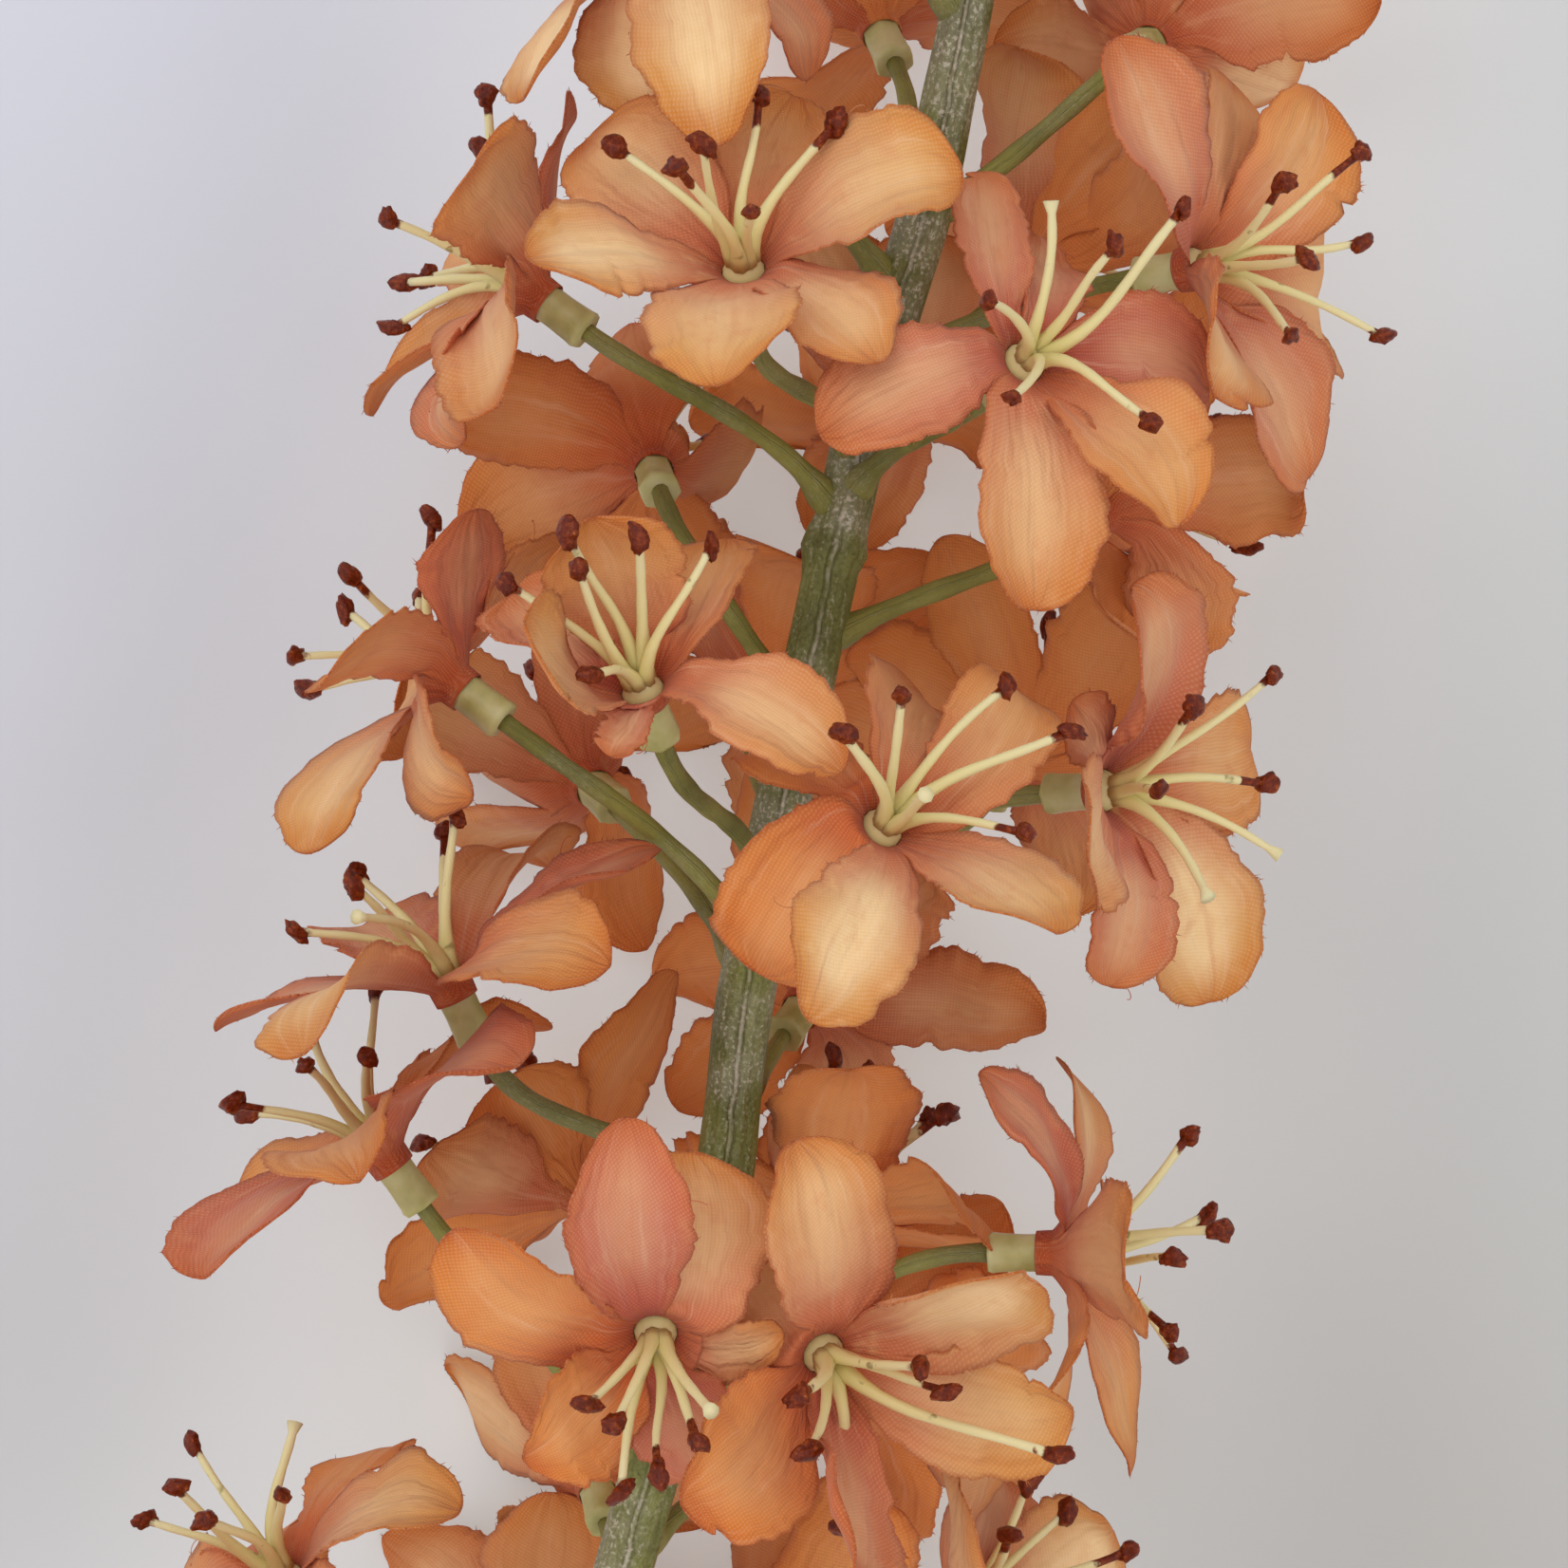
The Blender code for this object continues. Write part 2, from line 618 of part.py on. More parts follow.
def stem_ring(x, radius):
    """Points round the stem at x, square to its run."""
    along = unit(stem_point(x + 0.5) - stem_point(x - 0.5))
    side = unit(np.cross((0, 0, 1.0), along))
    across = np.cross(along, side)
    turns = [2 * math.pi * k / STEM_SIDES for k in range(STEM_SIDES)]
    point = stem_point(x)
    return [point + radius * (side * math.cos(a) + across * math.sin(a)) for a in turns]


def make_object(name, points, faces, material, collection=None):
    """A closed mesh in metres, with its faces turned outwards."""
    mesh = bpy.data.meshes.new(name)
    mesh.from_pydata([tuple(float(c) * MM for c in p) for p in points], [], faces)
    body = bmesh.new()
    body.from_mesh(mesh)
    bmesh.ops.recalc_face_normals(body, faces=body.faces)
    body.to_mesh(mesh)
    body.free()
    mesh.materials.append(material)
    made = bpy.data.objects.new(name, mesh)
    (collection or bpy.context.scene.collection).objects.link(made)
    return made


def make_material(name, color, roughness):
    material = bpy.data.materials.new(name)
    material.use_nodes = True
    surface = material.node_tree.nodes["Principled BSDF"]
    surface.inputs["Base Color"].default_value = (*color, 1)
    surface.inputs["Roughness"].default_value = roughness
    surface.inputs["Metallic"].default_value = 0
    return material


def bloom_mesh(bloom):
    """The sleeve, the joined petals and the stamens as one closed surface."""
    points, faces = [], []

    def add(new):
        points.extend(new)
        return list(range(len(points) - len(new), len(points)))

    step = 2 * math.pi / PLACES
    heart, facing = bloom.heart, bloom.facing

    def circle(radius, rise, half_step):
        return [
            heart + facing * rise + bloom.radial(bloom.turn + step * (k + half_step)) * radius
            for k in range(PLACES)
        ]

    rim = add(circle(RIM_RADIUS, 0.1, 0.5))
    upper = add(circle(RIM_RADIUS * 0.9, 0.6, 0))
    lower = add(circle(RIM_RADIUS * 0.95, -0.5, 0))
    cup = add(circle(CUP_RADIUS, CUP_RISE, 0.5))
    front = add(circle(SLEEVE_RADIUS, -1.0, 0.5))
    back = add(circle(SLEEVE_RADIUS * 0.85, -SLEEVE_LENGTH, 0.5))
    centre = add([heart + facing * CUP_RISE * 1.1])[0]
    for k in range(PLACES):
        j = (k - 1) % PLACES
        faces += [(rim[j], upper[k], cup[j]), (upper[k], cup[k], cup[j]), (upper[k], rim[k], cup[k])]
        faces += [(rim[j], front[j], lower[k]), (lower[k], front[j], front[k])]
        faces += [(lower[k], front[k], rim[k])]
        faces += [(front[j], back[j], back[k]), (front[j], back[k], front[k])]
    faces += [(back[0], back[k], back[k + 1]) for k in range(1, PLACES - 1)]
    for k, petal in enumerate(bloom.petals):
        left, top, right, bottom, tip = blade(petal, PETAL_SECTIONS, 0)
        ring = [rim[(k - 1) % PLACES], upper[k], rim[k], lower[k]]
        for section in zip(left, top, right, bottom):
            far = add(section)
            for edge in (0, 2):
                for face in (1, 3):
                    faces += [(ring[edge], far[edge], far[face]), (ring[edge], far[face], ring[face])]
            ring = far
        end = add([tip])[0]
        faces += [(ring[m], ring[(m + 1) % 4], end) for m in range(4)]
    for k, stamen in enumerate(bloom.stamens):
        ring = [centre, cup[(k - 1) % PLACES], cup[k]]
        for at, radius in STAMEN_RINGS:
            far = add(stamen.ring(at, radius))
            for m in range(3):
                n = (m + 1) % 3
                faces += [(ring[m], ring[n], far[n]), (ring[m], far[n], far[m])]
            ring = far
        end = add([stamen.apex()])[0]
        faces += [(ring[m], ring[(m + 1) % 3], end) for m in range(3)]
    return points, faces


def tip_buds(draw):
    """The buds on a spiral up to the stem's tip: (foot or None, neck, end, radius) of each."""
    found = []
    for n in range(BUD_COUNT):
        share = n / (BUD_COUNT - 1)
        angle = math.radians(GOLDEN_TURN * n + draw.uniform(-10, 10))
        out = np.array([0, math.cos(angle), math.sin(angle)])
        size = 1.0 - 0.45 * share
        lean = unit(out * (1 - 0.4 * share) + np.array([0.8 + 0.5 * share, 0, 0]))
        foot = stem_point(BUD_FIRST + (STEM_LENGTH - BUD_FIRST - 4) * share)
        neck = foot + lean * BUD_STALK * size
        found.append((foot, neck, neck + lean * BUD_LENGTH * size, BUD_RADIUS * size))
    tip = stem_point(STEM_LENGTH)
    lean = unit(tip - stem_point(STEM_LENGTH - 5))
    found.append((None, tip - lean * 2, tip + lean * BUD_LENGTH * 0.5, BUD_RADIUS * 0.7))
    return found


def bud_mesh(neck, end, radius):
    """An egg-shaped bud: rings between a flat foot in its stalk and a tip."""
    points = []
    for share, width in BUD_RINGS:
        ring = tube_rings(straight(neck, end), radius * width, BUD_SIDES, 2)[0]
        points += [p + (end - neck) * share for p in ring]
    return [*points, end], tube_faces(len(BUD_RINGS), BUD_SIDES, True)


def tube_mesh(rings):
    points = [p for ring in rings for p in ring]
    return points, tube_faces(len(rings), len(rings[0]), False)


def make_stem(blooms, material, draw):
    """The stem, with the pedicels and the buds fused into it by one union."""
    edges = (-COLLAR_HALF - 1, -COLLAR_HALF + 0.1, COLLAR_HALF - 0.1, COLLAR_HALF + 1)
    places = {collar + edge for collar in COLLARS for edge in edges} | {STEM_LENGTH}
    places |= set(range(0, STEM_LENGTH, STEM_RING_STEP))
    stem = make_object(
        "stem", *tube_mesh([stem_ring(x, stem_radius(x)) for x in sorted(places)]), material
    )
    repeats = bpy.data.collections.new("pedicels_and_buds")
    bpy.context.scene.collection.children.link(repeats)
    for bloom in blooms:
        rings = tube_rings(bloom.pedicel, PEDICEL_RADIUS, PEDICEL_SIDES, PEDICEL_RINGS)
        make_object("pedicel", *tube_mesh(rings), material, repeats)
    for foot, neck, end, radius in tip_buds(draw):
        make_object("bud", *bud_mesh(neck, end, radius), material, repeats)
        if foot is not None:
            stalk = straight(foot, neck + (end - neck) * BUD_RINGS[0][0] * 1.2)
            rings = tube_rings(stalk, PEDICEL_RADIUS * 0.8, PEDICEL_SIDES, 2)
            make_object("stalk", *tube_mesh(rings), material, repeats)
    union = stem.modifiers.new("union", "BOOLEAN")
    union.operation = "UNION"
    union.operand_type = "COLLECTION"
    union.collection = repeats
    union.solver = "MANIFOLD"
    bpy.context.view_layer.update()
    graph = bpy.context.evaluated_depsgraph_get()
    fused = bpy.data.meshes.new_from_object(stem.evaluated_get(graph))
    stem.modifiers.clear()
    stem.data = fused
    for piece in list(repeats.objects):
        bpy.data.objects.remove(piece)
    bpy.data.collections.remove(repeats)
    return stem


def stand_on_origin(pieces):
    """Hangs every piece on an empty, placed so that the middle of the underside is the origin."""
    corners = np.array([v.co[:] for piece in pieces for v in piece.data.vertices])
    low, high = corners.min(axis=0), corners.max(axis=0)
    spike = bpy.data.objects.new("spike", None)
    bpy.context.scene.collection.objects.link(spike)
    spike.location = (-(low[0] + high[0]) / 2, -(low[1] + high[1]) / 2, -low[2])
    for piece in pieces:
        piece.parent = spike


def main():
    for old in list(bpy.data.objects):
        bpy.data.objects.remove(old)
    green = make_material("moulded_green", (0.10, 0.17, 0.045), 0.45)
    silk = make_material("peach_silk", (0.90, 0.36, 0.16), 0.75)
    blooms = lay_out()
    pieces = [make_stem(blooms, green, random.Random(SEED + 1))]
    for n, bloom in enumerate(blooms, 1):
        pieces.append(make_object(f"bloom_{n:02d}", *bloom_mesh(bloom), silk))
    stand_on_origin(pieces)


main()
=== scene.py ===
import itertools
import math
import random

import bpy
import numpy as np
from mathutils import Matrix, Vector, noise
from mathutils.bvhtree import BVHTree


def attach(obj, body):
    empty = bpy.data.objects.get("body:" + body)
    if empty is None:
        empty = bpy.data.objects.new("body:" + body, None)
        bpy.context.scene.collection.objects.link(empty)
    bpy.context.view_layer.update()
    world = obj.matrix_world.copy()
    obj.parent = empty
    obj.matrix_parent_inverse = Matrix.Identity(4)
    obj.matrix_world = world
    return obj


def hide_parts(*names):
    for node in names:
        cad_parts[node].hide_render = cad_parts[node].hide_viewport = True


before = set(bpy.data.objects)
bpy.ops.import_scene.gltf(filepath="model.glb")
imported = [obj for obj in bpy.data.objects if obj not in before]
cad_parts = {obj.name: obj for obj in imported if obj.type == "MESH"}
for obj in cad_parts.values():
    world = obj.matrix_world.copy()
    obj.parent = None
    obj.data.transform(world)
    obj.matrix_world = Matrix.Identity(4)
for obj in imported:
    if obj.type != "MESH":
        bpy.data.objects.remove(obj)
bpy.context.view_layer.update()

# The stem. One moulded green plastic rod over a wire, 440 mm long, that came out of a mould in two
# halves: it has a pale line along each mould seam, two low collars, stubs and white scuffs. It lies
# on its side with its cut end on the surface, and the blooms underneath hold it up.
MM = 0.001
TOUCH = 0.02
STEM_LENGTH = 432
MIDDLE = 225
STEM_ASIDE = (
    (0, 6), (80, 2), (150, -1), (181, -2.5), (205, -0.6),
    (265, -0.3), (285, -1.8), (320, -1), (370, 2), (STEM_LENGTH, 6),
)
STEM_HEIGHT = (
    (0, 3.4), (50, 12), (100, 28), (145, 40), (185, 44),
    (290, 44), (340, 40), (390, 30), (STEM_LENGTH, 18),
)
STEM_RADIUS = ((0, 3.2), (150, 3.0), (MIDDLE, 2.8), (300, 2.6), (400, 1.7), (STEM_LENGTH, 1.2))
STEM_SIDES = 8
STEM_RING_STEP = 18
COLLARS = (178, 249)
COLLAR_RISE = 0.6
COLLAR_HALF = 1.5


def smooth(table, x):
    """The value at x of a smooth curve through a table of (place, value)."""
    places = [row[0] for row in table]
    values = [row[1] for row in table]
    last = len(table) - 1
    i = min(max(np.searchsorted(places, x) - 1, 0), last - 1)

    def slope(j):
        a, b = max(j - 1, 0), min(j + 1, last)
        return (values[b] - values[a]) / (places[b] - places[a])

    span = places[i + 1] - places[i]
    t = (x - places[i]) / span
    return (
        values[i] * (1 + 2 * t) * (1 - t) ** 2
        + values[i + 1] * t * t * (3 - 2 * t)
        + slope(i) * span * t * (1 - t) ** 2
        + slope(i + 1) * span * t * t * (t - 1)
    )


def unit(v):
    return v / np.linalg.norm(v)


def units(rows):
    return rows / np.linalg.norm(rows, axis=-1, keepdims=True)


def stem_point(x):
    return np.array([x, smooth(STEM_ASIDE, x), smooth(STEM_HEIGHT, x)])


def stem_radius(x):
    near = min(abs(x - collar) for collar in COLLARS)
    return smooth(STEM_RADIUS, x) + (COLLAR_RISE if near < COLLAR_HALF else 0)


def ring_round(point, side, across, radius, count):
    """That many points round a place on a run."""
    turns = 2 * math.pi * np.arange(count) / count
    return point + radius * (np.outer(np.cos(turns), side) + np.outer(np.sin(turns), across))


def stem_ring(x, radius):
    """Points round the stem at x, square to its run."""
    along = unit(stem_point(x + 0.5) - stem_point(x - 0.5))
    side = unit(np.cross((0, 0, 1.0), along))
    return ring_round(stem_point(x), side, np.cross(along, side), radius, STEM_SIDES)


# The part stands on its own origin, and the drawing above is in the stem's own lengths. The two
# meet at the stem's cut end.
cut_ring = stem_ring(0, stem_radius(0))
solid = np.array([v.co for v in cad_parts["stem"].data.vertices]) / MM
end_face = solid[solid[:, 0] < solid[:, 0].min() + 1]
SHIFT = np.array([
    solid[:, 0].min() - cut_ring[:, 0].min(),
    (end_face[:, 1].min() + end_face[:, 1].max() - cut_ring[:, 1].min() - cut_ring[:, 1].max()) / 2,
    0,
])


def added(name, operator, **settings):
    """A primitive added by itself."""
    bpy.ops.object.select_all(action="DESELECT")
    operator(**settings)
    piece = bpy.context.object
    piece.name = piece.data.name = name
    return piece


def applied(piece, kind, **settings):
    """The piece with a modifier put on it and applied."""
    bpy.ops.object.select_all(action="DESELECT")
    piece.select_set(True)
    bpy.context.view_layer.objects.active = piece
    modifier = piece.modifiers.new(kind.lower(), kind)
    for key, value in settings.items():
        setattr(modifier, key, value)
    bpy.ops.object.modifier_apply(modifier=modifier.name)
    return piece


def tube(name, sides, *rings):
    """A tube of unit radius and length, standing on the origin, with that many rings of faces;
    a second number cuts each of them again."""
    piece = added(
        name, bpy.ops.mesh.primitive_cylinder_add, vertices=sides, radius=1, depth=1,
        end_fill_type="TRIFAN", location=(0, 0, 0.5),
    )
    bpy.ops.object.transform_apply()
    for count in rings:
        bpy.ops.object.mode_set(mode="EDIT")
        bpy.ops.mesh.select_mode(type="EDGE")
        bpy.ops.mesh.select_all(action="DESELECT")
        bpy.ops.object.mode_set(mode="OBJECT")
        for edge in piece.data.edges:
            ends = [piece.data.vertices[v].co.z for v in edge.vertices]
            edge.select = abs(ends[0] - ends[1]) > 0.001
        bpy.ops.object.mode_set(mode="EDIT")
        bpy.ops.mesh.subdivide(number_cuts=count - 1)
        bpy.ops.object.mode_set(mode="OBJECT")
    return piece


def points_of(piece):
    found = np.empty(len(piece.data.vertices) * 3)
    piece.data.vertices.foreach_get("co", found)
    return found.reshape(-1, 3)


def set_points(piece, points, shift=True):
    """Moves a piece's points to these, in millimetres from the drawing's origin, none below the
    surface."""
    placed = (np.maximum(points, (-np.inf, -np.inf, TOUCH)) + SHIFT) * MM if shift else points
    piece.data.vertices.foreach_set("co", np.ascontiguousarray(placed, float).ravel())
    piece.data.update()


def copied(piece, name):
    """A copy with its own mesh."""
    copy = bpy.data.objects.new(name, piece.data.copy())
    copy.data.name = name
    bpy.context.scene.collection.objects.link(copy)
    return copy


def joined(pieces, name):
    """All these pieces as one."""
    bpy.ops.object.select_all(action="DESELECT")
    for piece in pieces:
        piece.select_set(True)
    bpy.context.view_layer.objects.active = pieces[0]
    bpy.ops.object.join()
    pieces[0].name = pieces[0].data.name = name
    return pieces[0]


def removed(*pieces):
    for piece in pieces:
        bpy.data.objects.remove(piece)


def frames_along(directions, side=None):
    """Two ways across a run that has these directions, turned as little as the run allows."""
    if side is None:
        side = unit(np.cross(directions[0], (0.3, 0.2, 1.0)))
    sides = []
    for direction in directions:
        side = unit(side - direction * (side @ direction))
        sides.append(side)
    return np.array(sides), np.cross(directions, sides)


def turns_of(points):
    """The turn of each point round the upright axis."""
    return np.arctan2(points[:, 1], points[:, 0])


def swept(piece, run, radius):
    """Lays a unit tube along a run of points; radius is worked out from (share, turn)."""
    blank = points_of(piece)
    share = blank[:, 2].clip(0, 1)
    place = share * (len(run) - 1)
    low = np.minimum(place.astype(int), len(run) - 2)
    part = (place - low)[:, None]
    sides, acrosses = frames_along(units(np.gradient(run, axis=0)))

    def at(rows):
        return rows[low] * (1 - part) + rows[low + 1] * part

    spread = radius(share, turns_of(blank))[:, None]
    set_points(
        piece, at(run) + at(sides) * blank[:, :1] * spread + at(acrosses) * blank[:, 1:2] * spread
    )


def rewrite(piece, name, rows):
    """Fills an attribute that the piece has with a row of three numbers for each point."""
    flat = np.ascontiguousarray(rows, float).ravel()
    piece.data.attributes[name].data.foreach_set("vector", flat)


def write(piece, name, rows=None):
    """Stores a row of three numbers for each point, or room for it, for the material to read."""
    piece.data.attributes.new(name, "FLOAT_VECTOR", "POINT")
    if rows is not None:
        rewrite(piece, name, rows)


def colour(red, green, blue):
    """A colour seen on a screen, 0 to 255, as the shader takes it."""
    shares = [part / 255 for part in (red, green, blue)]
    return (*(p / 12.92 if p < 0.04 else ((p + 0.055) / 1.055) ** 2.4 for p in shares), 1)


class Value:
    """A number or colour that changes over a surface. Arithmetic on it adds Math nodes."""

    def __init__(self, finish, socket):
        self.finish = finish
        self.socket = socket

    def math(self, operation, *others):
        values = dict(enumerate((self, *others)))
        return self.finish.node("ShaderNodeMath", {"operation": operation}, values)

    def __add__(self, other):
        return self.math("ADD", other)

    def __sub__(self, other):
        return self.math("SUBTRACT", other)

    def __rsub__(self, other):
        return self.finish.node("ShaderNodeMath", {"operation": "SUBTRACT"}, {0: other, 1: self})

    def __mul__(self, other):
        return self.math("MULTIPLY", other)

    __radd__ = __add__
    __rmul__ = __mul__

    def sine(self):
        return self.math("SINE")

    def size(self):
        return self.math("ABSOLUTE")

    def held(self):
        """Kept from 0 to 1."""
        return self.finish.node(
            "ShaderNodeMath", {"operation": "ADD", "use_clamp": True}, {0: self, 1: 0.0}
        )

    def between(self, low, high):
        """0 at low and below, 1 at high and above, smoothly."""
        settings = {"interpolation_type": "SMOOTHSTEP"}
        return self.finish.node(
            "ShaderNodeMapRange", settings, {"Value": self, "From Min": low, "From Max": high}
        )

    def __getitem__(self, part):
        return self.finish.node("ShaderNodeSeparateXYZ", {}, {0: self}, part)


class Finish:
    """A material under way: its nodes are added one by one, and end in one surface shader."""

    def __init__(self, name, **constants):
        self.material = bpy.data.materials.new(name)
        self.material.use_nodes = True
        self.tree = self.material.node_tree
        self.surface = self.tree.nodes["Principled BSDF"]
        for socket, value in constants.items():
            self.surface.inputs[socket.replace("_", " ")].default_value = value

    def node(self, kind, settings, values, output=0):
        made = self.tree.nodes.new(kind)
        for key, value in settings.items():
            if key == "stops":
                ramp = made.color_ramp
                while len(ramp.elements) < len(value):
                    ramp.elements.new(0.5)
                for stop, (place, shade) in zip(ramp.elements, value):
                    stop.position = place
                    stop.color = shade
            else:
                setattr(made, key, value)
        for socket, value in values.items():
            if isinstance(value, Value):
                self.tree.links.new(value.socket, made.inputs[socket])
            else:
                made.inputs[socket].default_value = value
        return Value(self, made.outputs[output])

    def stored(self, name):
        return self.node("ShaderNodeAttribute", {"attribute_name": name}, {}, 1)

    def place(self):
        return self.node("ShaderNodeTexCoord", {}, {}, 3)

    def mottle(self, where, scale, detail=2.0, roughness=0.5):
        """Soft random patches, 0 to 1, about 1/scale across."""
        values = {"Vector": where, "Scale": scale, "Detail": detail, "Roughness": roughness}
        return self.node("ShaderNodeTexNoise", {}, values)

    def stretched(self, where, x, y, z):
        """A place with each way multiplied, so that a pattern on it is drawn out."""
        settings = {"operation": "MULTIPLY"}
        return self.node("ShaderNodeVectorMath", settings, {0: where, 1: (x, y, z)})

    def ramp(self, value, *stops):
        """Colours that follow a value, from stops of (place, red, green, blue)."""
        stops = [(place, colour(*shade)) for place, *shade in stops]
        return self.node("ShaderNodeValToRGB", {"stops": stops}, {0: value})

    def mix(self, share, a, b):
        return self.node("ShaderNodeMix", {"data_type": "RGBA"}, {0: share, 6: a, 7: b}, 2)

    def lay(self, share, *shade):
        """Mixes a share of a colour into the base colour so far."""
        self.base = self.mix(share, self.base, colour(*shade))

    def end(self, height=None, distance=0.0, strength=1.0, roughness=None):
        """Links what was worked out to the surface shader."""
        self.tree.links.new(self.base.socket, self.surface.inputs["Base Color"])
        if roughness is not None:
            self.tree.links.new(roughness.socket, self.surface.inputs["Roughness"])
        if height is not None:
            values = {"Height": height, "Distance": distance, "Strength": strength}
            bump = self.node("ShaderNodeBump", {}, values)
            self.tree.links.new(bump.socket, self.surface.inputs["Normal"])
        return self.material


def dress(piece, material, slot, *nodes):
    """Gives a finished piece its material and ties it to the part."""
    piece.data.materials.clear()
    piece.data.materials.append(material)
    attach(piece, "root")
    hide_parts(*nodes)


SEAM_TURN = 1.35


def green_plastic(name, light, dark, scuffs):
    """Moulded green plastic: mottled dye, fine lines along its run, seam lines and white scuffs.

    It reads "mould": share along, turn round it, millimetres along."""
    finish = Finish(
        name, Roughness=0.46, Specular_IOR_Level=0.4,
        Subsurface_Weight=0.05, Subsurface_Radius=(0.0006, 0.001, 0.0003),
    )
    place = finish.place()
    mould = finish.stored("mould")
    patches = finish.mottle(place, 90.0, 4.0, 0.6)
    finish.base = finish.ramp(patches.between(0.3, 0.7), (0.0, *dark), (1.0, *light))
    grain = finish.mottle(finish.stretched(mould, 1.0, 7.0, 0.25), 1.6, 3.0)
    finish.lay(grain.between(0.35, 0.75) * 0.35, *dark)
    bark = finish.mottle(finish.stretched(mould, 1.0, 3.0, 1.0), 2.2, 4.0, 0.65)
    finish.lay((1 - bark).between(0.5, 0.7) * scuffs * 0.6, 52, 54, 22)
    wander = (finish.mottle(finish.stretched(mould, 1.0, 0.0, 0.22), 1.0, 3.0) - 0.5) * 0.5
    off_seam = ((mould[1] + wander).size() - SEAM_TURN).size()
    seam = 1 - off_seam.between(0.02, 0.12)
    groove = (1 - (off_seam - 0.13).size().between(0.01, 0.05)) * scuffs
    finish.lay(groove * bark.between(0.35, 0.5) * 0.35, 48, 48, 22)
    edge = finish.mottle(finish.stretched(mould, 1.0, 3.2, 0.16), 1.0, 3.0).between(0.5, 0.62)
    broken = finish.mottle(finish.stretched(mould, 1.0, 1.0, 0.3), 1.0, 4.0, 0.7).between(0.36, 0.62)
    specks = bark.between(0.5, 0.68)
    wear = finish.mottle(place, 75.0, 4.0, 0.6).between(0.47, 0.6)
    white = seam * broken * 0.6 + edge * specks * 0.5 + (specks + 0.3) * wear * 0.85 + specks * 0.12
    finish.lay(white.held() * scuffs, 192, 186, 164)
    height = patches * 0.3 + grain * 0.3 + bark * 0.7 + seam * 0.6 - groove * 0.5
    return finish.end(height, 0.0003, 0.7)


stem_plastic = green_plastic("stem_green_plastic", (132, 134, 66), (92, 94, 36), 1.0)

STEM_ROUND = 240
STEM_RINGS = (50, 5)
STEM_STATIONS = 600
SEAM_HALF = 0.09
SEAM_RISE = 0.12
DENT_DEPTH = 0.22
# Stubs left by the mould: place along the stem, turn round it and height.
STUBS = (
    (206, 1.9, 1.1), (253, -1.2, 1.5), (300, 1.3, 1.2), (150, 2.4, 1.2), (120, 0.6, 1.2),
    (344, 2.2, 1.0),
)
STUB_HALF = 1.6
STUB_SPAN = 0.42
stem_run = np.array([stem_point(x) for x in np.linspace(0, STEM_LENGTH, STEM_STATIONS)])


def stem_spread(share, turn):
    """The stem's radius: tapered, with lines, seams, collars with torn rims, stubs and dents."""
    x = share * STEM_LENGTH
    spread = np.array([smooth(STEM_RADIUS, at) for at in x])
    for collar in COLLARS:
        torn = 0.25 * np.sin(3 * turn + collar) + 0.2 * np.sin(7 * turn + 2 * collar)
        spread += (COLLAR_RISE + torn * 0.6) * np.exp(-(((x - collar) / (COLLAR_HALF + torn)) ** 4))
    seam = np.exp(-(((np.abs(turn) - SEAM_TURN) / SEAM_HALF) ** 2))
    ribs = 0.05 * np.sin(9 * turn + 0.02 * x) + 0.04 * np.sin(15 * turn - 0.05 * x)
    dents = np.array([noise.noise(Vector((a * 0.09, 1.3 * b, 4.0))) for a, b in zip(x, np.cos(turn))])
    spread += seam * SEAM_RISE + ribs + dents * DENT_DEPTH
    for at, around, rise in STUBS:
        off = (turn - around + math.pi) % (2 * math.pi) - math.pi
        spread += rise * np.exp(-(((x - at) / STUB_HALF) ** 2) - (off / STUB_SPAN) ** 2)
    return spread


stem = tube("stem_rod", STEM_ROUND, *STEM_RINGS)
blank = points_of(stem)
swept(stem, stem_run, stem_spread)
write(stem, "mould", np.stack([blank[:, 2], turns_of(blank), blank[:, 2] * STEM_LENGTH], axis=1))
stem.data.shade_smooth()
dress(stem, stem_plastic, "stem_green", "stem")

# The pedicels. Curved green rods 1.9 mm thick, one to a bloom, moulded with the stem: each swells
# into a blob where it leaves the stem and ends in the sleeve of its bloom. The blooms' places come
# with them: the ones the eye meets first are set one by one, the others by rule.
PEDICEL_RADIUS = 0.95
PEDICEL_SIDES = 4
PEDICEL_RINGS = 4
SEAT_GAP = 0.3
FOOT_SHIFTS = (0, 3, -3, 6, -6, 9, -9, 12, -12)
SLEEVE_RADIUS = 2.1
SLEEVE_LENGTH = 6.5
RIM_RADIUS = 2.6
PLACES = 6
PLACE_TURN = 2 * math.pi / PLACES
CLEARANCE = 0.4
HEART_DEPTH = 4
HEART_RADIUS = 3
PETAL_LENGTH = 24
PETAL_OPENING = math.radians(70)
STAMEN_LENGTH = 17
STAMEN_OPENING = math.radians(36)
SEED = 11
# The lowest blooms by their angle round the stem, the top ones on a spiral.
LOWEST_BLOOMS = ((-113, 150), (-106, 20), (-101, -75), (-92, -125))
TOP_FIRST = 96
TOP_STEP = 6.4
TOP_BLOOMS = 10
TOP_SHRINK = 0.0055
GOLDEN_TURN = 137.5
BLOOM_REACH = 33
LOWEST_HEART = 11
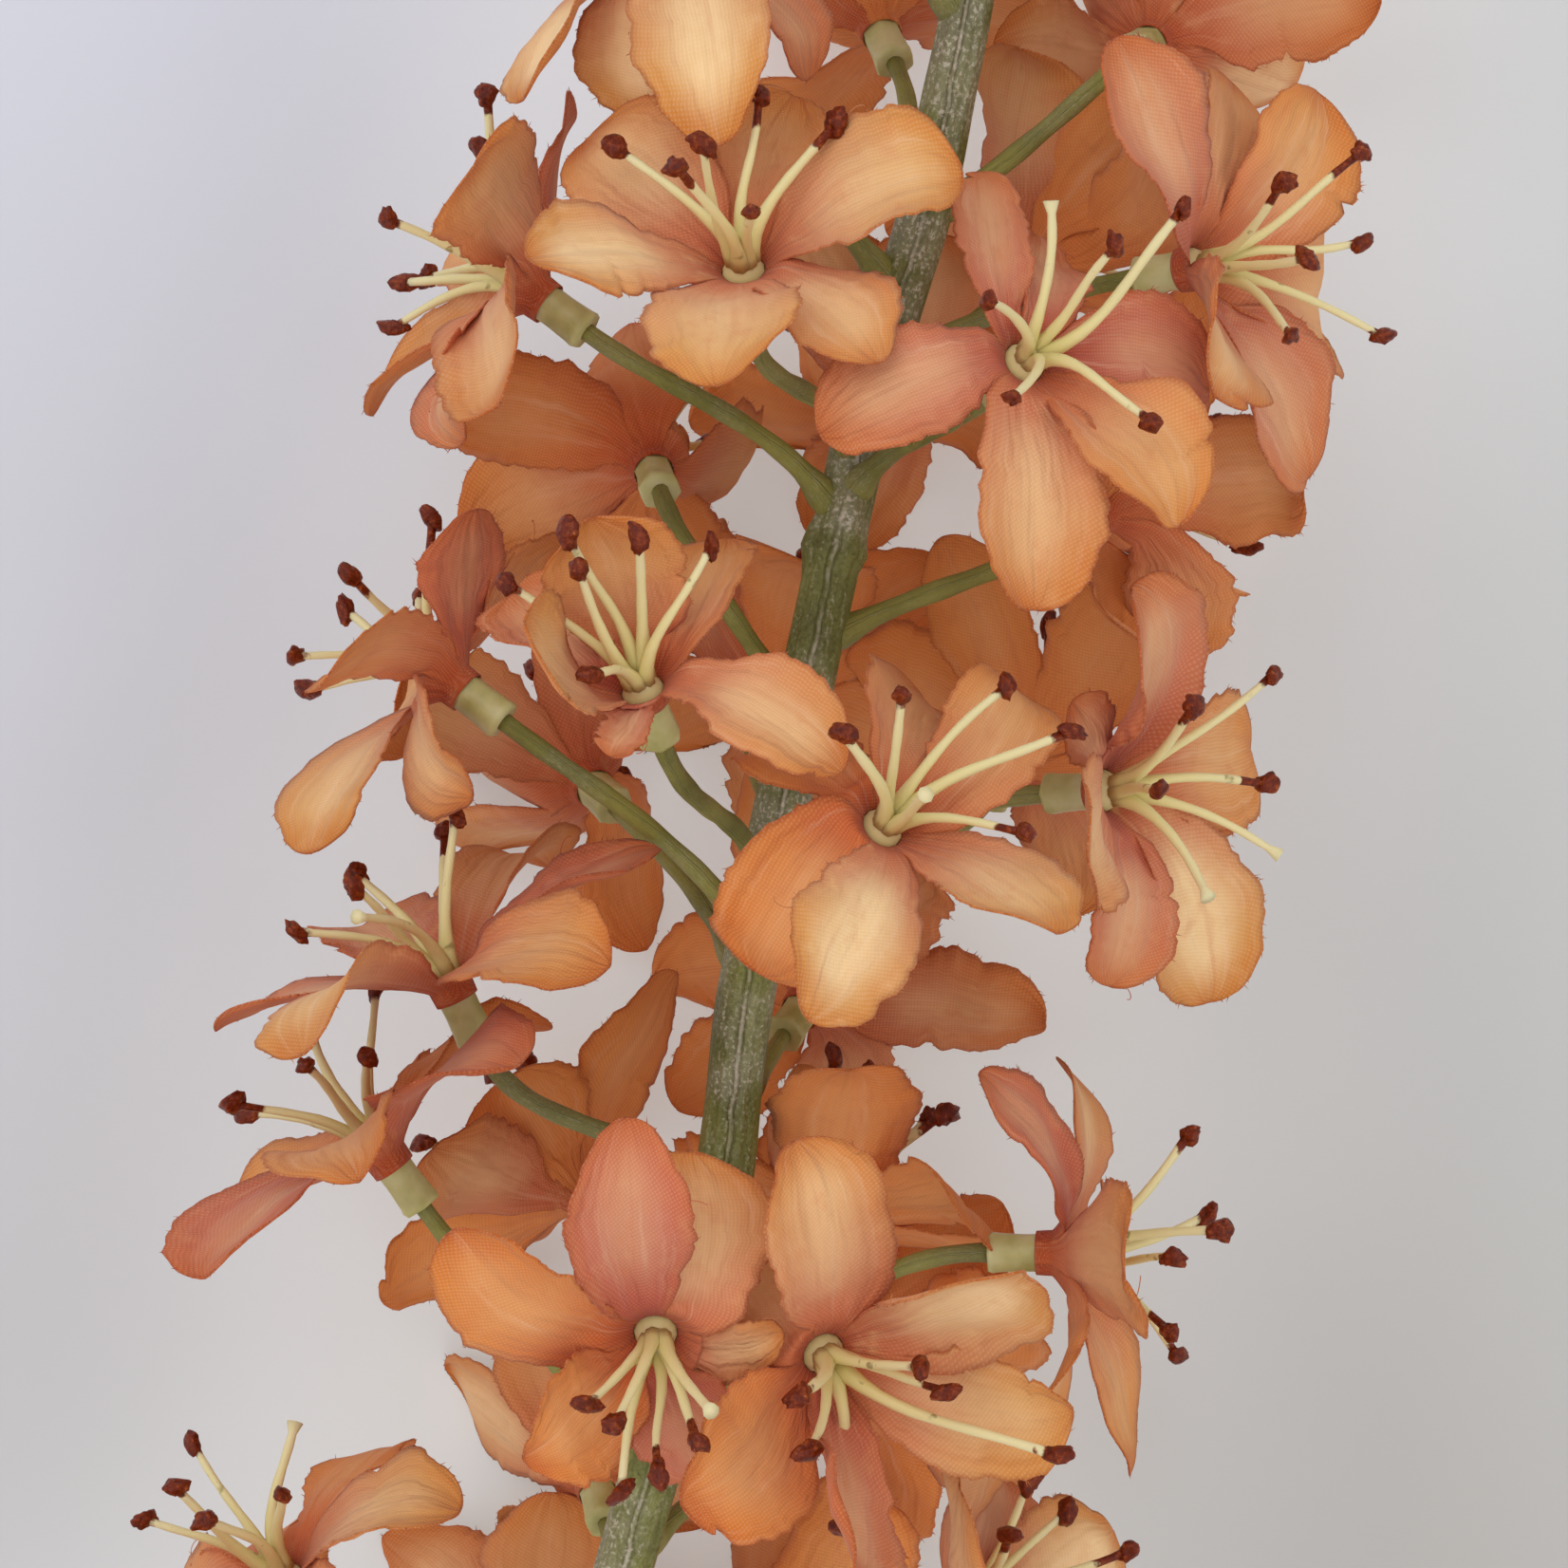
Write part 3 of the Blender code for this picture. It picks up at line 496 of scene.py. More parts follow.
# Each row: heart (along from MIDDLE, aside, above the stem), the way the bloom faces, petal tips
# and anthers as seen from above, measured from the heart, and the foot of its pedicel.
# A tip's third value is its height above the heart, and its fourth the petal's twist in degrees.
PLACED_BLOOMS = (
    ((47, 14, 32), (0.67, 0.24, 0.7),
     ((14, -18, 5), (-6, -15, 17), (-12, -1, 20), (-4, 20, 13), (10, 19, -10), (17, 0, -17)),
     ((9, 15), (7, 8), (10, 6), (17, 2), (16, -6), (4, 0)), 33),
    ((44, -14, 31), (0.48, -0.36, 0.8),
     ((-11, 18, 13), (-23, -5, 6), (-11, -19, 8), (3, -19, -8), (12, 2, -17), (17, 8, -10)),
     ((16, 1), (12, -6), (18, -12), (-4, -13), (-5, 1)), 29),
    ((6, 15, 34), (0.66, 0.4, 0.64),
     ((3, 12, 13, -60), (6, 14, -7), (15, 7, -7), (16, -5, -12), (-4, -20, 11), (-7, 1, 17)),
     ((4, 15), (13, 10), (14, 3), (15, -4), (0, 5, 11), (10, 8, 11)), -11),
    ((-2, -10, 36), (0.58, -0.34, 0.74),
     ((-18, 5, 15), (-7, -17, 15), (-17, 9, 3), (13, -1, -17), (5, 13, -13), (18, -10, -13)),
     ((8, 6), (20, -2), (16, -9), (13, -16), (1, -7), (4, -3)), -16),
    ((-52, -15, 34), (-0.26, -0.46, 0.85),
     ((20, 7, 12), (13, -15, 13), (0, -24, 5), (-17, -5, 16), (-16, 9, 14), (8, 11, -2)),
     ((2, -9), (0, -12), (-4, -24), (-17, -5), (-8, 0), (-3, 2)), -45),
    ((-53, 1, 39), (-0.54, -0.11, 0.83),
     ((20, 7, 10), (5, 21, 10), (-13, 9, 6), (-12, -10, 8), (18, -1, 3), (2, -12, -6)),
     ((-7, 5), (-8, 2), (-15, 0), (-12, -3), (-5, -7), (-8, -6)), -48),
    ((42, 34, 10), (0.4, 0.88, -0.2),
     ((9, 7, 21), (19, 0, -14), (-12, -2, 13), (-16, 6, 8), (-14, 15, -14), (8, 11, -20)),
     ((4, 16), (-1, 14), (-6, 14), (19, 9), (0, 12)), 27),
    ((58, -29, 12), (0.28, -0.8, 0.53),
     ((19, 13, 6), (20, -9, -9), (2, -14, -19), (-16, -14, -10), (-13, -5, 19), (21, 0, -14)),
     ((15, -14), (6, -16), (-3, -20), (-6, -10), (9, -6), (2, -10)), 42),
    ((6, -31, 14), (0.23, -0.82, 0.53),
     ((19, 1, 14), (6, -14, -18), (-18, -14, -6, 60), (-19, -4, 5), (-8, 3, 20), (13, 3, 15)),
     ((15, -14), (4, -16), (-3, -19), (-9, -12), (10, -6), (1, -4)), -10),
    ((-26, 28, 12), (0.78, 0.6, 0.15),
     ((-10, 20, -7), (-7, 12, 17), (3, 11, -21), (14, -6, -18), (16, -17, -6), (6, -14, 17)),
     ((2, 16), (8, 11), (15, 4), (17, 3), (5, 10)), -43),
    ((-44, 31, 8), (0.66, 0.72, 0.15),
     ((-13, 14, -10), (-14, 12, 11), (-1, 1, 21), (17, -12, -6), (13, -11, 10), (2, 0, -21)),
     ((3, 13), (8, 9), (6, 8), (10, 3)), -71),
    ((-40, -36, 4), (0.21, -0.97, 0.15),
     ((16, 12, 11), (19, 3, -10), (2, -7, 20), (-21, -12, -6), (-16, -1, 12), (0, -6, -21)),
     ((15, -11), (7, -15), (6, -16), (-4, -18), (4, -14)), -65),
    ((3, 34, 8), (0.42, 0.88, -0.2),
     ((17, 1, 8), (-3, 10, 20), (-19, 10, 4, -60), (-12, -3, 12), (16, -4, -13), (-8, 7, -19)),
     ((5, 13), (2, 10), (-4, 15), (8, 6)), -16),
    ((-87, 32, 14), (0.66, 0.62, 0.42),
     ((14, -9, -14), (13, -16, 11), (-3, -1, -23), (-14, 12, -15), (-7, 13, 18), (-6, -6, 18)),
     ((8, 12), (14, -1), (10, 1), (0, 13), (6, 8)), -104),
    ((75, 28, 12), (0.82, 0.54, 0.2), ((-17, 9), (-15, -2), (-16, -10), (-6, -17), (4, 14)), (), 50),
    ((-77, -34, 8), (0.66, -0.69, 0.3), ((14, -1), (13, 4)), ((7, -11), (10, -16)), -99),
    ((29, 20, -14), (0.41, 0.24, -0.88), ((1, 22), (-11, 18), (15, 7), (11, -9), (4, -11)), (), 7),
    ((82, -21, -12), (0.37, -0.28, -0.89), ((-1, 15), (0, -16), (-8, -8), (12, 11), (17, -4)), (), 58),
    ((58, -14, -18), (0.56, -0.3, -0.78), ((22, 6), (10, -9), (22, -2), (-17, 3)), ((18, 1),), 38),
    ((79, 7, -22), (0.6, 0.4, -0.65), ((-2, 11), (-14, 7)), (), 54),
    ((40, -1, -29), (0.65, 0.1, -0.75), ((11, 9), (-12, 12), (-15, 2)), (), 20),
    ((34, -26, -12), (0.55, -0.54, -0.64), ((-14, -11), (-4, -13), (-15, -5)),
     ((10, -13), (12, -10)), 14),
    ((7, -23, -14), (0.6, -0.35, -0.72), ((20, 13), (11, 4), (18, -7), (5, 19)), ((13, 5),), -16),
    ((9, 3, -29), (0.6, -0.1, -0.78), ((14, -1), (-10, 15)), (), -6),
    ((-4, 20, -22), (0.3, 0.55, -0.78), ((-10, 10), (-3, 14), (-16, -8)), (), -20),
    ((-22, -7, -28), (0.55, -0.25, -0.8), ((-14, 10), (-2, 15), (-16, -8)), (), -40),
    ((-43, -13, -10), (0.89, -0.18, -0.42), ((9, 3), (6, -16), (8, 10)),
     ((16, 8), (13, 0), (13, -9), (6, -7)), -58),
    ((-46, 12, -20), (0.35, 0.75, -0.55), ((11, 9), (2, 13), (14, -1)), ((11, 12),), -60),
    ((-76, 4, -28), (0.5, 0.3, -0.8), ((-10, 9), (-12, 0), (-5, -12), (9, 11)), (), -92),
    ((-60, -20, -24), (0.45, -0.55, -0.7), (), (), -80),
)


def bezier(controls, s):
    """Points of a cubic curve at the shares s of its length."""
    s = np.asarray(s, float)[..., None]
    a, b, c, d = controls
    return (
        a * (1 - s) ** 3 + b * 3 * s * (1 - s) ** 2 + c * 3 * s * s * (1 - s) + d * s**3
    )


def bezier_direction(controls, s):
    s = np.asarray(s, float)[..., None]
    a, b, c, d = controls
    v = (b - a) * (1 - s) ** 2 + (c - b) * 2 * s * (1 - s) + (d - c) * s * s
    return v / np.linalg.norm(v, axis=-1, keepdims=True)


class Bloom:
    """A bloom's place: its heart, the way it faces, and the directions round that axis."""

    def __init__(self, heart, facing, petals=(), stamens=(), foot=None, size=1.0):
        self.heart = np.array(heart, float)
        self.facing = unit(np.array(facing, float))
        self.across = unit(np.cross(self.facing, (1.0, 0.13, 0.05)))
        self.up = np.cross(self.facing, self.across)
        self.size = size
        self.foot = foot
        self.petal_tips = self.offsets(petals, PETAL_LENGTH * size, PETAL_OPENING)
        self.twists = [math.radians(tip[3] if len(tip) > 3 else 0) for tip in petals]
        self.stamen_tips = self.offsets(stamens, STAMEN_LENGTH * size, STAMEN_OPENING)

    def offsets(self, seen, length, opening):
        """Tips as seen from above, each at the height that gives it its length and its opening."""
        found = []
        for tip in seen:
            reach = math.hypot(tip[0], tip[1])
            depth = math.sqrt(max(length**2 - reach**2, 0))
            heights = tip[2:3] or (depth, -depth)
            choices = [np.array([tip[0], tip[1], h], float) for h in heights]
            found.append(
                min(choices, key=lambda v: abs(unit(v) @ self.facing - math.cos(opening)))
            )
        return found

    def azimuth(self, offset):
        return math.atan2(offset @ self.up, offset @ self.across)

    def radial(self, azimuth):
        return self.across * math.cos(azimuth) + self.up * math.sin(azimuth)

    def direction(self, azimuth, opening):
        return self.facing * math.cos(opening) + self.radial(azimuth) * math.sin(opening)


class Shells:
    """The pieces placed so far, as closed shells a little larger than life.

    A shell with an owner is met by all pieces but those of that bloom."""

    def __init__(self):
        self.held = []

    def hit(self, shell, bloom=None):
        low, high, tree = shell
        for (other_low, other_high, other), owner in self.held:
            if owner is not None and owner is bloom:
                continue
            if (low < other_high).all() and (other_low < high).all() and tree.overlap(other):
                return True
        return False

    def add(self, shell, owner=None):
        self.held.append((shell, owner))


def closed_shell(points, faces):
    points = np.array(points)
    tree = BVHTree.FromPolygons(points.tolist(), faces)
    return points.min(axis=0), points.max(axis=0), tree


def tube_faces(rings, sides, tips):
    """Faces of a tube of rings, closed at its start by a fan and at its end by a fan or a tip."""
    faces = []
    for r in range(rings - 1):
        for k in range(sides):
            a, b = r * sides + k, r * sides + (k + 1) % sides
            faces += [(a, b, b + sides), (a, b + sides, a + sides)]
    faces += [(0, k + 1, k) for k in range(1, sides - 1)]
    last = (rings - 1) * sides
    if tips:
        faces += [(last + k, last + (k + 1) % sides, rings * sides) for k in range(sides)]
    else:
        faces += [(last, last + k, last + k + 1) for k in range(1, sides - 1)]
    return faces


def tube_shell(rings):
    points = [p for ring in rings for p in ring]
    return closed_shell(points, tube_faces(len(rings), len(rings[0]), False))


def tube_rings(controls, radius, sides, count):
    """Rings of points round a curve, each turned as little as the curve allows."""
    shares = np.linspace(0, 1, count)
    frames = frames_along(bezier_direction(controls, shares))
    stations = zip(bezier(controls, shares), *frames)
    return [ring_round(point, side, across, radius, sides) for point, side, across in stations]


def sleeve_end(bloom):
    return bloom.heart - bloom.facing * SLEEVE_LENGTH


def rod_shell(start, end, radius):
    controls = tuple(start + (end - start) * share for share in (0, 1 / 3, 2 / 3, 1))
    return tube_shell(tube_rings(controls, radius + CLEARANCE, PLACES, 2))


def pedicel_curve(bloom, shift):
    """The curve of a pedicel from the stem's middle to the seat behind the sleeve."""
    foot = stem_point(MIDDLE + bloom.foot + shift)
    seat = sleeve_end(bloom) - bloom.facing * SEAT_GAP
    reach = np.linalg.norm(seat - foot)
    aside = seat - foot
    aside[0] = 0
    leave = unit(unit(aside) + np.array([0.9, 0, 0]))
    return foot, foot + leave * reach * 0.4, seat - bloom.facing * reach * 0.35, seat


def placed_blooms():
    found = []
    for (along, aside, above), facing, petals, stamens, foot in PLACED_BLOOMS:
        x = MIDDLE + along
        heart = (x, aside, smooth(STEM_HEIGHT, x) + above)
        found.append(Bloom(heart, facing, petals, stamens, foot))
    return found


def ruled_blooms(draw):
    """The lowest blooms, and those at the top: a spiral round the stem, smaller towards the tip."""
    found = []
    spiral = [(TOP_FIRST + TOP_STEP * n, 40 + GOLDEN_TURN * n) for n in range(TOP_BLOOMS)]
    for along, angle in (*LOWEST_BLOOMS, *spiral):
        size = min(1, 1 - TOP_SHRINK * (along - TOP_FIRST))
        angle = math.radians(angle + draw.uniform(-8, 8))
        out = np.array([0, math.cos(angle), math.sin(angle)])
        heart = stem_point(MIDDLE + along) + out * BLOOM_REACH * size
        heart[2] = max(heart[2], LOWEST_HEART)
        facing = out + np.array([draw.uniform(0.25, 0.6), 0, 0])
        foot = along - draw.uniform(14, 20) * size
        found.append(Bloom(heart, facing, foot=foot, size=size))
    return found


draw = random.Random(SEED)
blooms = placed_blooms() + ruled_blooms(draw)
shells = Shells()
half_steps = range(0, STEM_LENGTH, STEM_RING_STEP // 2)
shells.add(tube_shell([stem_ring(x, stem_radius(x) + CLEARANCE) for x in half_steps]))
hearts = Shells()
for bloom in blooms:
    hearts.add(rod_shell(sleeve_end(bloom), bloom.heart, SLEEVE_RADIUS), bloom)
    rise = bloom.facing * HEART_DEPTH
    hearts.add(rod_shell(bloom.heart, bloom.heart + rise, HEART_RADIUS), bloom)
for bloom in blooms:
    for shift in FOOT_SHIFTS:
        bloom.pedicel = pedicel_curve(bloom, shift)
        rings = tube_rings(bloom.pedicel, PEDICEL_RADIUS + CLEARANCE, PEDICEL_SIDES, PEDICEL_RINGS)
        shell = tube_shell(rings)
        if not hearts.hit(shell, bloom):
            break
    shells.add(shell)
shells.held += hearts.held

pedicel_plastic = green_plastic("pedicel_green_plastic", (158, 152, 72), (116, 114, 46), 0.3)
PEDICEL_ROUND = 10
PEDICEL_SHARES = 34
rods = []
blank = tube("pedicel_blank", PEDICEL_ROUND, PEDICEL_SHARES)
shares = points_of(blank)
turns = turns_of(shares)
write(blank, "mould")
for n, bloom in enumerate(blooms):
    rod = copied(blank, "pedicel")
    run = bezier(bloom.pedicel, np.linspace(0, 1.02, 60))
    length = np.linalg.norm(np.diff(run, axis=0), axis=1).sum()

    def rod_spread(share, turn):
        from_foot = share * length
        blob = 0.75 * np.exp(-(((from_foot - 2.6) / 2.4) ** 2))
        uneven = 0.05 * np.sin(from_foot * 0.9 + n) + 0.04 * np.sin(2 * turn + from_foot * 0.4 + n)
        return PEDICEL_RADIUS * (1 + 0.08 * (1 - share)) + blob + uneven

    swept(rod, run, rod_spread)
    rows = np.stack([shares[:, 2], turns, shares[:, 2] * length + 50 * n], axis=1)
    rewrite(rod, "mould", rows)
    rods.append(rod)
removed(blank)
pedicels = joined(rods, "pedicels")
pedicels.data.shade_smooth()
dress(pedicels, pedicel_plastic, "stem_green", "stem")

# The petals. A square-woven peach silk is dyed, cut to a sheet of six lobes and pressed hot into
# its hollows and veins, then pushed over the sleeve up to the heart. The cut edge frays into
# short threads. Where each petal lies is worked out with the stamens, clear of all the others.
CUP_RADIUS = 1.5
CUP_RISE = 1.1
ROOT_START = RIM_RADIUS * 0.85
PETAL_WIDTH = 12
PETAL_SHORT = 19
PETAL_THICKNESS = 0.9
PETAL_SECTIONS = (0.35, 0.68, 0.9)
PETAL_CUP = 0.13
PETAL_TURN = math.radians(55)
FILAMENT_RADIUS = 0.6
ANTHER_RADIUS = 1.3
STAMEN_TURN = math.radians(50)
STAMEN_RINGS = ((0.45, FILAMENT_RADIUS), (0.86, ANTHER_RADIUS))
ROOT_SHARE = 0.5
STAMEN_ROOT_SHARE = 0.8
SAG_TO_SURFACE = 9
# How a petal or stamen is bent clear of others: a seen tip up or down, then any tip by its share of
# length, and by its lift and swing in degrees.
SEEN_LIFTS = (0, 3, -3, 6, -6, 9, -9, 12, -12, 15, -15)
BENT_SHARES = (1, 0.85, 0.7, 0.55, 0.4, 0.28)
BENT_LIFTS = (0, -12, 12, -24, 24, -36)
BENT_SWINGS = (0, 12, -12, 24, -24)


def turn_between(a, b):
    return abs((a - b + math.pi) % (2 * math.pi) - math.pi)


def share_places(bloom, tips, first, most):
    """The seen tips set on the six places round the heart, in their order; the rest are None.

    first is the azimuth of place 0, or None where the tips settle it. It returns it with the list.
    A tip that is more than most out of its place is left out, or it would cross its neighbours."""
    turns = [PLACE_TURN * k / 12 for k in range(12)] if first is None else [first]
    angles = sorted((bloom.azimuth(tip), i) for i, tip in enumerate(tips))
    best = (math.inf, 0, [None] * PLACES)
    for turn in turns:
        for chosen in itertools.combinations(range(PLACES), len(tips)):
            for shift in range(max(len(tips), 1)):
                order = angles[shift:] + angles[:shift]
                cost = sum(
                    turn_between(angle, turn + PLACE_TURN * place) ** 2
                    for (angle, _), place in zip(order, chosen)
                )
                if cost < best[0]:
                    held = [None] * PLACES
                    for (_, i), place in zip(order, chosen):
                        held[place] = tips[i]
                    best = (cost, turn, held)
    _, turn, held = best
    for place, tip in enumerate(held):
        if tip is not None and turn_between(bloom.azimuth(tip), turn + PLACE_TURN * place) > most:
            held[place] = None
    return turn, held


def seen_first(held):
    """The places round the heart, those with a seen tip before the rest."""
    return sorted(range(PLACES), key=lambda k: held[k] is None)


def petal_half(s, belly=1.7, blunt=0.65):
    """A petal's half width at the shares s, as a share of its widest: narrow at the root, widest
    past the middle, further out for a greater belly, and round-ended, fuller for a smaller blunt."""
    return 0.24 * (1 - s) + np.sin(math.pi * np.clip(s, 0, 1) ** belly).clip(0) ** blunt


class Petal:
    """One petal: a curved centre line, the way its width lies, and its width and cup."""

    def __init__(self, bloom, azimuth, tip, width, curl, twist):
        length = np.linalg.norm(tip)
        out = bloom.radial(azimuth)
        start = bloom.heart + out * ROOT_START
        end = bloom.heart + tip
        rise = start + 0.3 * length * unit(out * 0.8 + bloom.facing * 0.6)
        over = end - 0.3 * length * unit(unit(end - rise) - curl * bloom.facing)
        self.controls = (start, rise, over, end)
        self.azimuth = azimuth
        self.facing = bloom.facing
        self.width_root = np.cross(bloom.facing, out)
        far = np.cross(bloom.facing, unit(tip))
        far = unit(far) if np.linalg.norm(far) > 0.2 else self.width_root
        turned = np.cross(unit(tip), far)
        self.width_tip = far * math.cos(twist) + turned * math.sin(twist)
        self.half_width = width / 2 * min(1, length / (PETAL_SHORT * bloom.size))

    def frame(self, s):
        """Centre points, width directions and face normals at the shares s."""
        point = bezier(self.controls, s)
        along = bezier_direction(self.controls, s)
        across = self.width_root * (1 - s[:, None]) + self.width_tip * s[:, None]
        across -= along * (across * along).sum(axis=1, keepdims=True)
        across /= np.linalg.norm(across, axis=1, keepdims=True)
        return point, across, np.cross(along, across)


def pressed(points, lowest):
    """The points with none lower than this above the surface."""
    points = points.copy()
    points[:, 2] = np.maximum(points[:, 2], lowest)
    return points


def petal_shell(petal):
    """A petal from just past its root, with its clearance, as one closed shell."""
    at = np.array((0, *PETAL_SECTIONS))
    point, across, normal = petal.frame(at)
    half = (petal.half_width * petal_half(at) + CLEARANCE)[:, None]
    lift = normal * PETAL_CUP * half
    thick = normal * (PETAL_THICKNESS / 2 + CLEARANCE)
    left = pressed(point - across * half + lift, 0)
    right = pressed(point + across * half + lift, 0)
    top, bottom = point + thick, point - thick
    swap = top[:, 2] < bottom[:, 2]
    high = np.where(swap[:, None], bottom, top)
    low = pressed(np.where(swap[:, None], top, bottom), 0)
    high[:, 2] = np.maximum(high[:, 2], low[:, 2] + 0.8 * PETAL_THICKNESS)
    top = np.where(swap[:, None], low, high)
    bottom = np.where(swap[:, None], high, low)
    tip = petal.controls[3] + unit(petal.controls[3] - petal.controls[2]) * CLEARANCE
    rings = np.array(list(zip(left, top, right, bottom)))
    rings[0] += (rings[1] - rings[0]) * ROOT_SHARE
    return closed_shell(
        [*rings.reshape(-1, 3), pressed(tip[None], 0)[0]], tube_faces(len(rings), 4, True)
    )


class Stamen:
    """One stamen: a curved filament that ends in an anther."""

    def __init__(self, bloom, azimuth, tip):
        out = bloom.radial(azimuth)
        length = np.linalg.norm(tip)
        start = bloom.heart + bloom.facing * CUP_RISE + out * CUP_RADIUS * 0.5
        end = bloom.heart + tip
        rise = start + 0.35 * length * unit(bloom.facing + 0.25 * out)
        over = end - 0.3 * length * unit(unit(end - rise) + 0.15 * bloom.facing)
        self.controls = (start, rise, over, end)
        self.out = out

    def ring(self, at, radius):
        """Three points round the filament: the inner one and the two outer ones."""
        point = bezier(self.controls, at)
        frames = frames_along(bezier_direction(self.controls, np.linspace(0, at, 5)), self.out)
        side, across = (rows[-1] for rows in frames)
        lobes = (-side, side * 0.5 - across * 0.87, side * 0.5 + across * 0.87)
        return pressed(np.array([point + lobe * radius for lobe in lobes]), 0)


def stamen_shell(stamen):
    rings = np.array([stamen.ring(at, radius + CLEARANCE) for at, radius in STAMEN_RINGS])
    root = stamen.ring(0, FILAMENT_RADIUS + CLEARANCE)
    first = root + (rings[0] - root) * STAMEN_ROOT_SHARE
    end = stamen.controls[3] + unit(stamen.controls[3] - stamen.controls[2]) * CLEARANCE
    points = [*first, *rings.reshape(-1, 3), pressed(end[None], 0.3)[0]]
    return closed_shell(points, tube_faces(len(rings) + 1, 3, True))


def tip_choices(bloom, tip, seen):
    """A tip, then the ways to bend it clear, the slightest first."""
    if seen:
        for height in SEEN_LIFTS:
            yield tip + np.array([0, 0, height])
    azimuth = bloom.azimuth(tip)
    length = np.linalg.norm(tip)
    opening = math.acos(np.clip(unit(tip) @ bloom.facing, -1, 1))
    for share, lift, swing in itertools.product(BENT_SHARES, BENT_LIFTS, BENT_SWINGS):
        turned = bloom.direction(azimuth + math.radians(swing), opening + math.radians(lift))
        yield turned * length * share


def sagged(bloom, tip):
    """A tip that ends just above the surface sags onto it."""
    height = bloom.heart[2] + tip[2]
    tip = tip.copy()
    if height < SAG_TO_SURFACE:
        tip[2] = -bloom.heart[2]
    return tip


def bent_clear(bloom, place, most, tip, seen, build, shell_of):
    """The piece that build makes for the first tip whose shell meets nothing placed so far.

    Its tip stays within most of its place round the heart."""
    for choice in tip_choices(bloom, tip, seen):
        if turn_between(bloom.azimuth(choice), place) > most:
            continue
        piece = build(choice)
        shell = shell_of(piece)
        if not shells.hit(shell, bloom):
            break
    shells.add(shell)
    return piece


def open_bloom(bloom):
    """Petals and stamens for the six places round the heart, the best seen ones first."""
    bloom.turn, held = share_places(bloom, bloom.petal_tips, None, PETAL_TURN)
    if not bloom.petal_tips:
        bloom.turn = draw.uniform(0, PLACE_TURN)
    bloom.petals = [None] * PLACES
    tips = list(enumerate(bloom.petal_tips))
    bloom.rows = [next((i for i, tip in tips if tip is one), None) for one in held]
    for k in seen_first(held):
        azimuth = bloom.turn + PLACE_TURN * k
        width = PETAL_WIDTH * bloom.size * draw.uniform(0.92, 1.1)
        curl = draw.uniform(0.1, 0.5)
        opening = PETAL_OPENING + math.radians(draw.uniform(-10, 10))
        length = PETAL_LENGTH * bloom.size * draw.uniform(0.94, 1.04)
        seen = held[k] is not None
        tip = held[k] if seen else bloom.direction(azimuth, opening) * length
        twist = next((w for t, w in zip(bloom.petal_tips, bloom.twists) if t is tip), 0)

        def petal_to(choice):
            return Petal(bloom, azimuth, sagged(bloom, choice), width, curl, twist)

        bloom.petals[k] = bent_clear(bloom, azimuth, PETAL_TURN, tip, seen, petal_to, petal_shell)
    _, held = share_places(bloom, bloom.stamen_tips, bloom.turn, STAMEN_TURN)
    bloom.stamens = [None] * PLACES
    for k in seen_first(held):
        azimuth = bloom.turn + PLACE_TURN * k
        opening = STAMEN_OPENING + math.radians(draw.uniform(-12, 12))
        length = STAMEN_LENGTH * bloom.size * draw.uniform(0.9, 1.05)
        seen = held[k] is not None
        tip = held[k] if seen else bloom.direction(azimuth, opening) * length

        def stamen_to(choice):
            return Stamen(bloom, azimuth, choice)

        bloom.stamens[k] = bent_clear(
            bloom, azimuth, STAMEN_TURN, tip, seen, stamen_to, stamen_shell
        )


for bloom in blooms:
    open_bloom(bloom)

LOBE_CELLS = (10, 50)
THROAT = -0.1
CROWDED_TIP = 1.45
SLIT_FROM, SLIT_TO = 0.075, 0.24
WEDGE = math.radians(30)
SHEET_THICKNESS = 0.2
ROOT_RUN = 0.72
ROOT_SLOPE = 0.75
NECK_TAPER = 0.06
LIFT_OFF_SURFACE = 0.15
# How the dye took: shares of pink, of deep orange and of paleness. A deep share past 1, in s, is
# no dye but painted light: it lightens the colour to a bright orange, for light that shines through
# the silk of the shaded blooms at the back. Each word has the seen petals of one of the blooms
# placed first, in their order; the others are drawn by lot.
DYES = {
    "y": (0.0, 0.0, 1.2), "g": (0.08, 0.0, 0.3), "o": (0.0, 0.5, 0.05), "d": (0.1, 1.0, 0.0),
    "t": (0.35, 0.15, 0.4), "p": (0.68, 0.0, 0.2), "r": (1.0, 0.0, 0.1), "s": (0.0, 1.6, 0.0),
}
SEEN_DYES = (
    "gtgyto", "ptorpp", "gpootp", "ygdodo", "tygpdo", "rddrtt", "grtpot", "poopto", "poyptp",
    "pgporo", "orodrd", "rtgood", "rogtoo", "dgoooo", "yyypyy", "pgopgo", "dodogo", "yyygyy",
)
# Mostly s: the petals drawn by lot belong mostly to the shaded blooms at the back, lightened as painted
# light.
OTHER_DYES = "sssssosgoty"
# The seen petals cut wider or narrower than the rest, by bloom and place in its row.
CUT_WIDTHS = {
    (1, 0): 1.05, (1, 3): 0.95, (1, 4): 0.95, (1, 5): 0.78, (2, 0): 0.88, (2, 2): 0.95,
    (2, 3): 0.95, (2, 4): 0.7, (2, 5): 0.6, (3, 3): 0.75, (3, 4): 0.75, (4, 5): 0.8,
    (5, 3): 0.75, (6, 0): 0.9, (6, 5): 0.8, (10, 4): 0.6, (12, 0): 0.7, (12, 1): 0.75,
    (12, 2): 1.05, (12, 3): 0.8, (13, 1): 0.8, (14, 0): 0.6,
}


def eased(t):
    t = np.clip(t, 0, 1)
    return t * t * (3 - 2 * t)


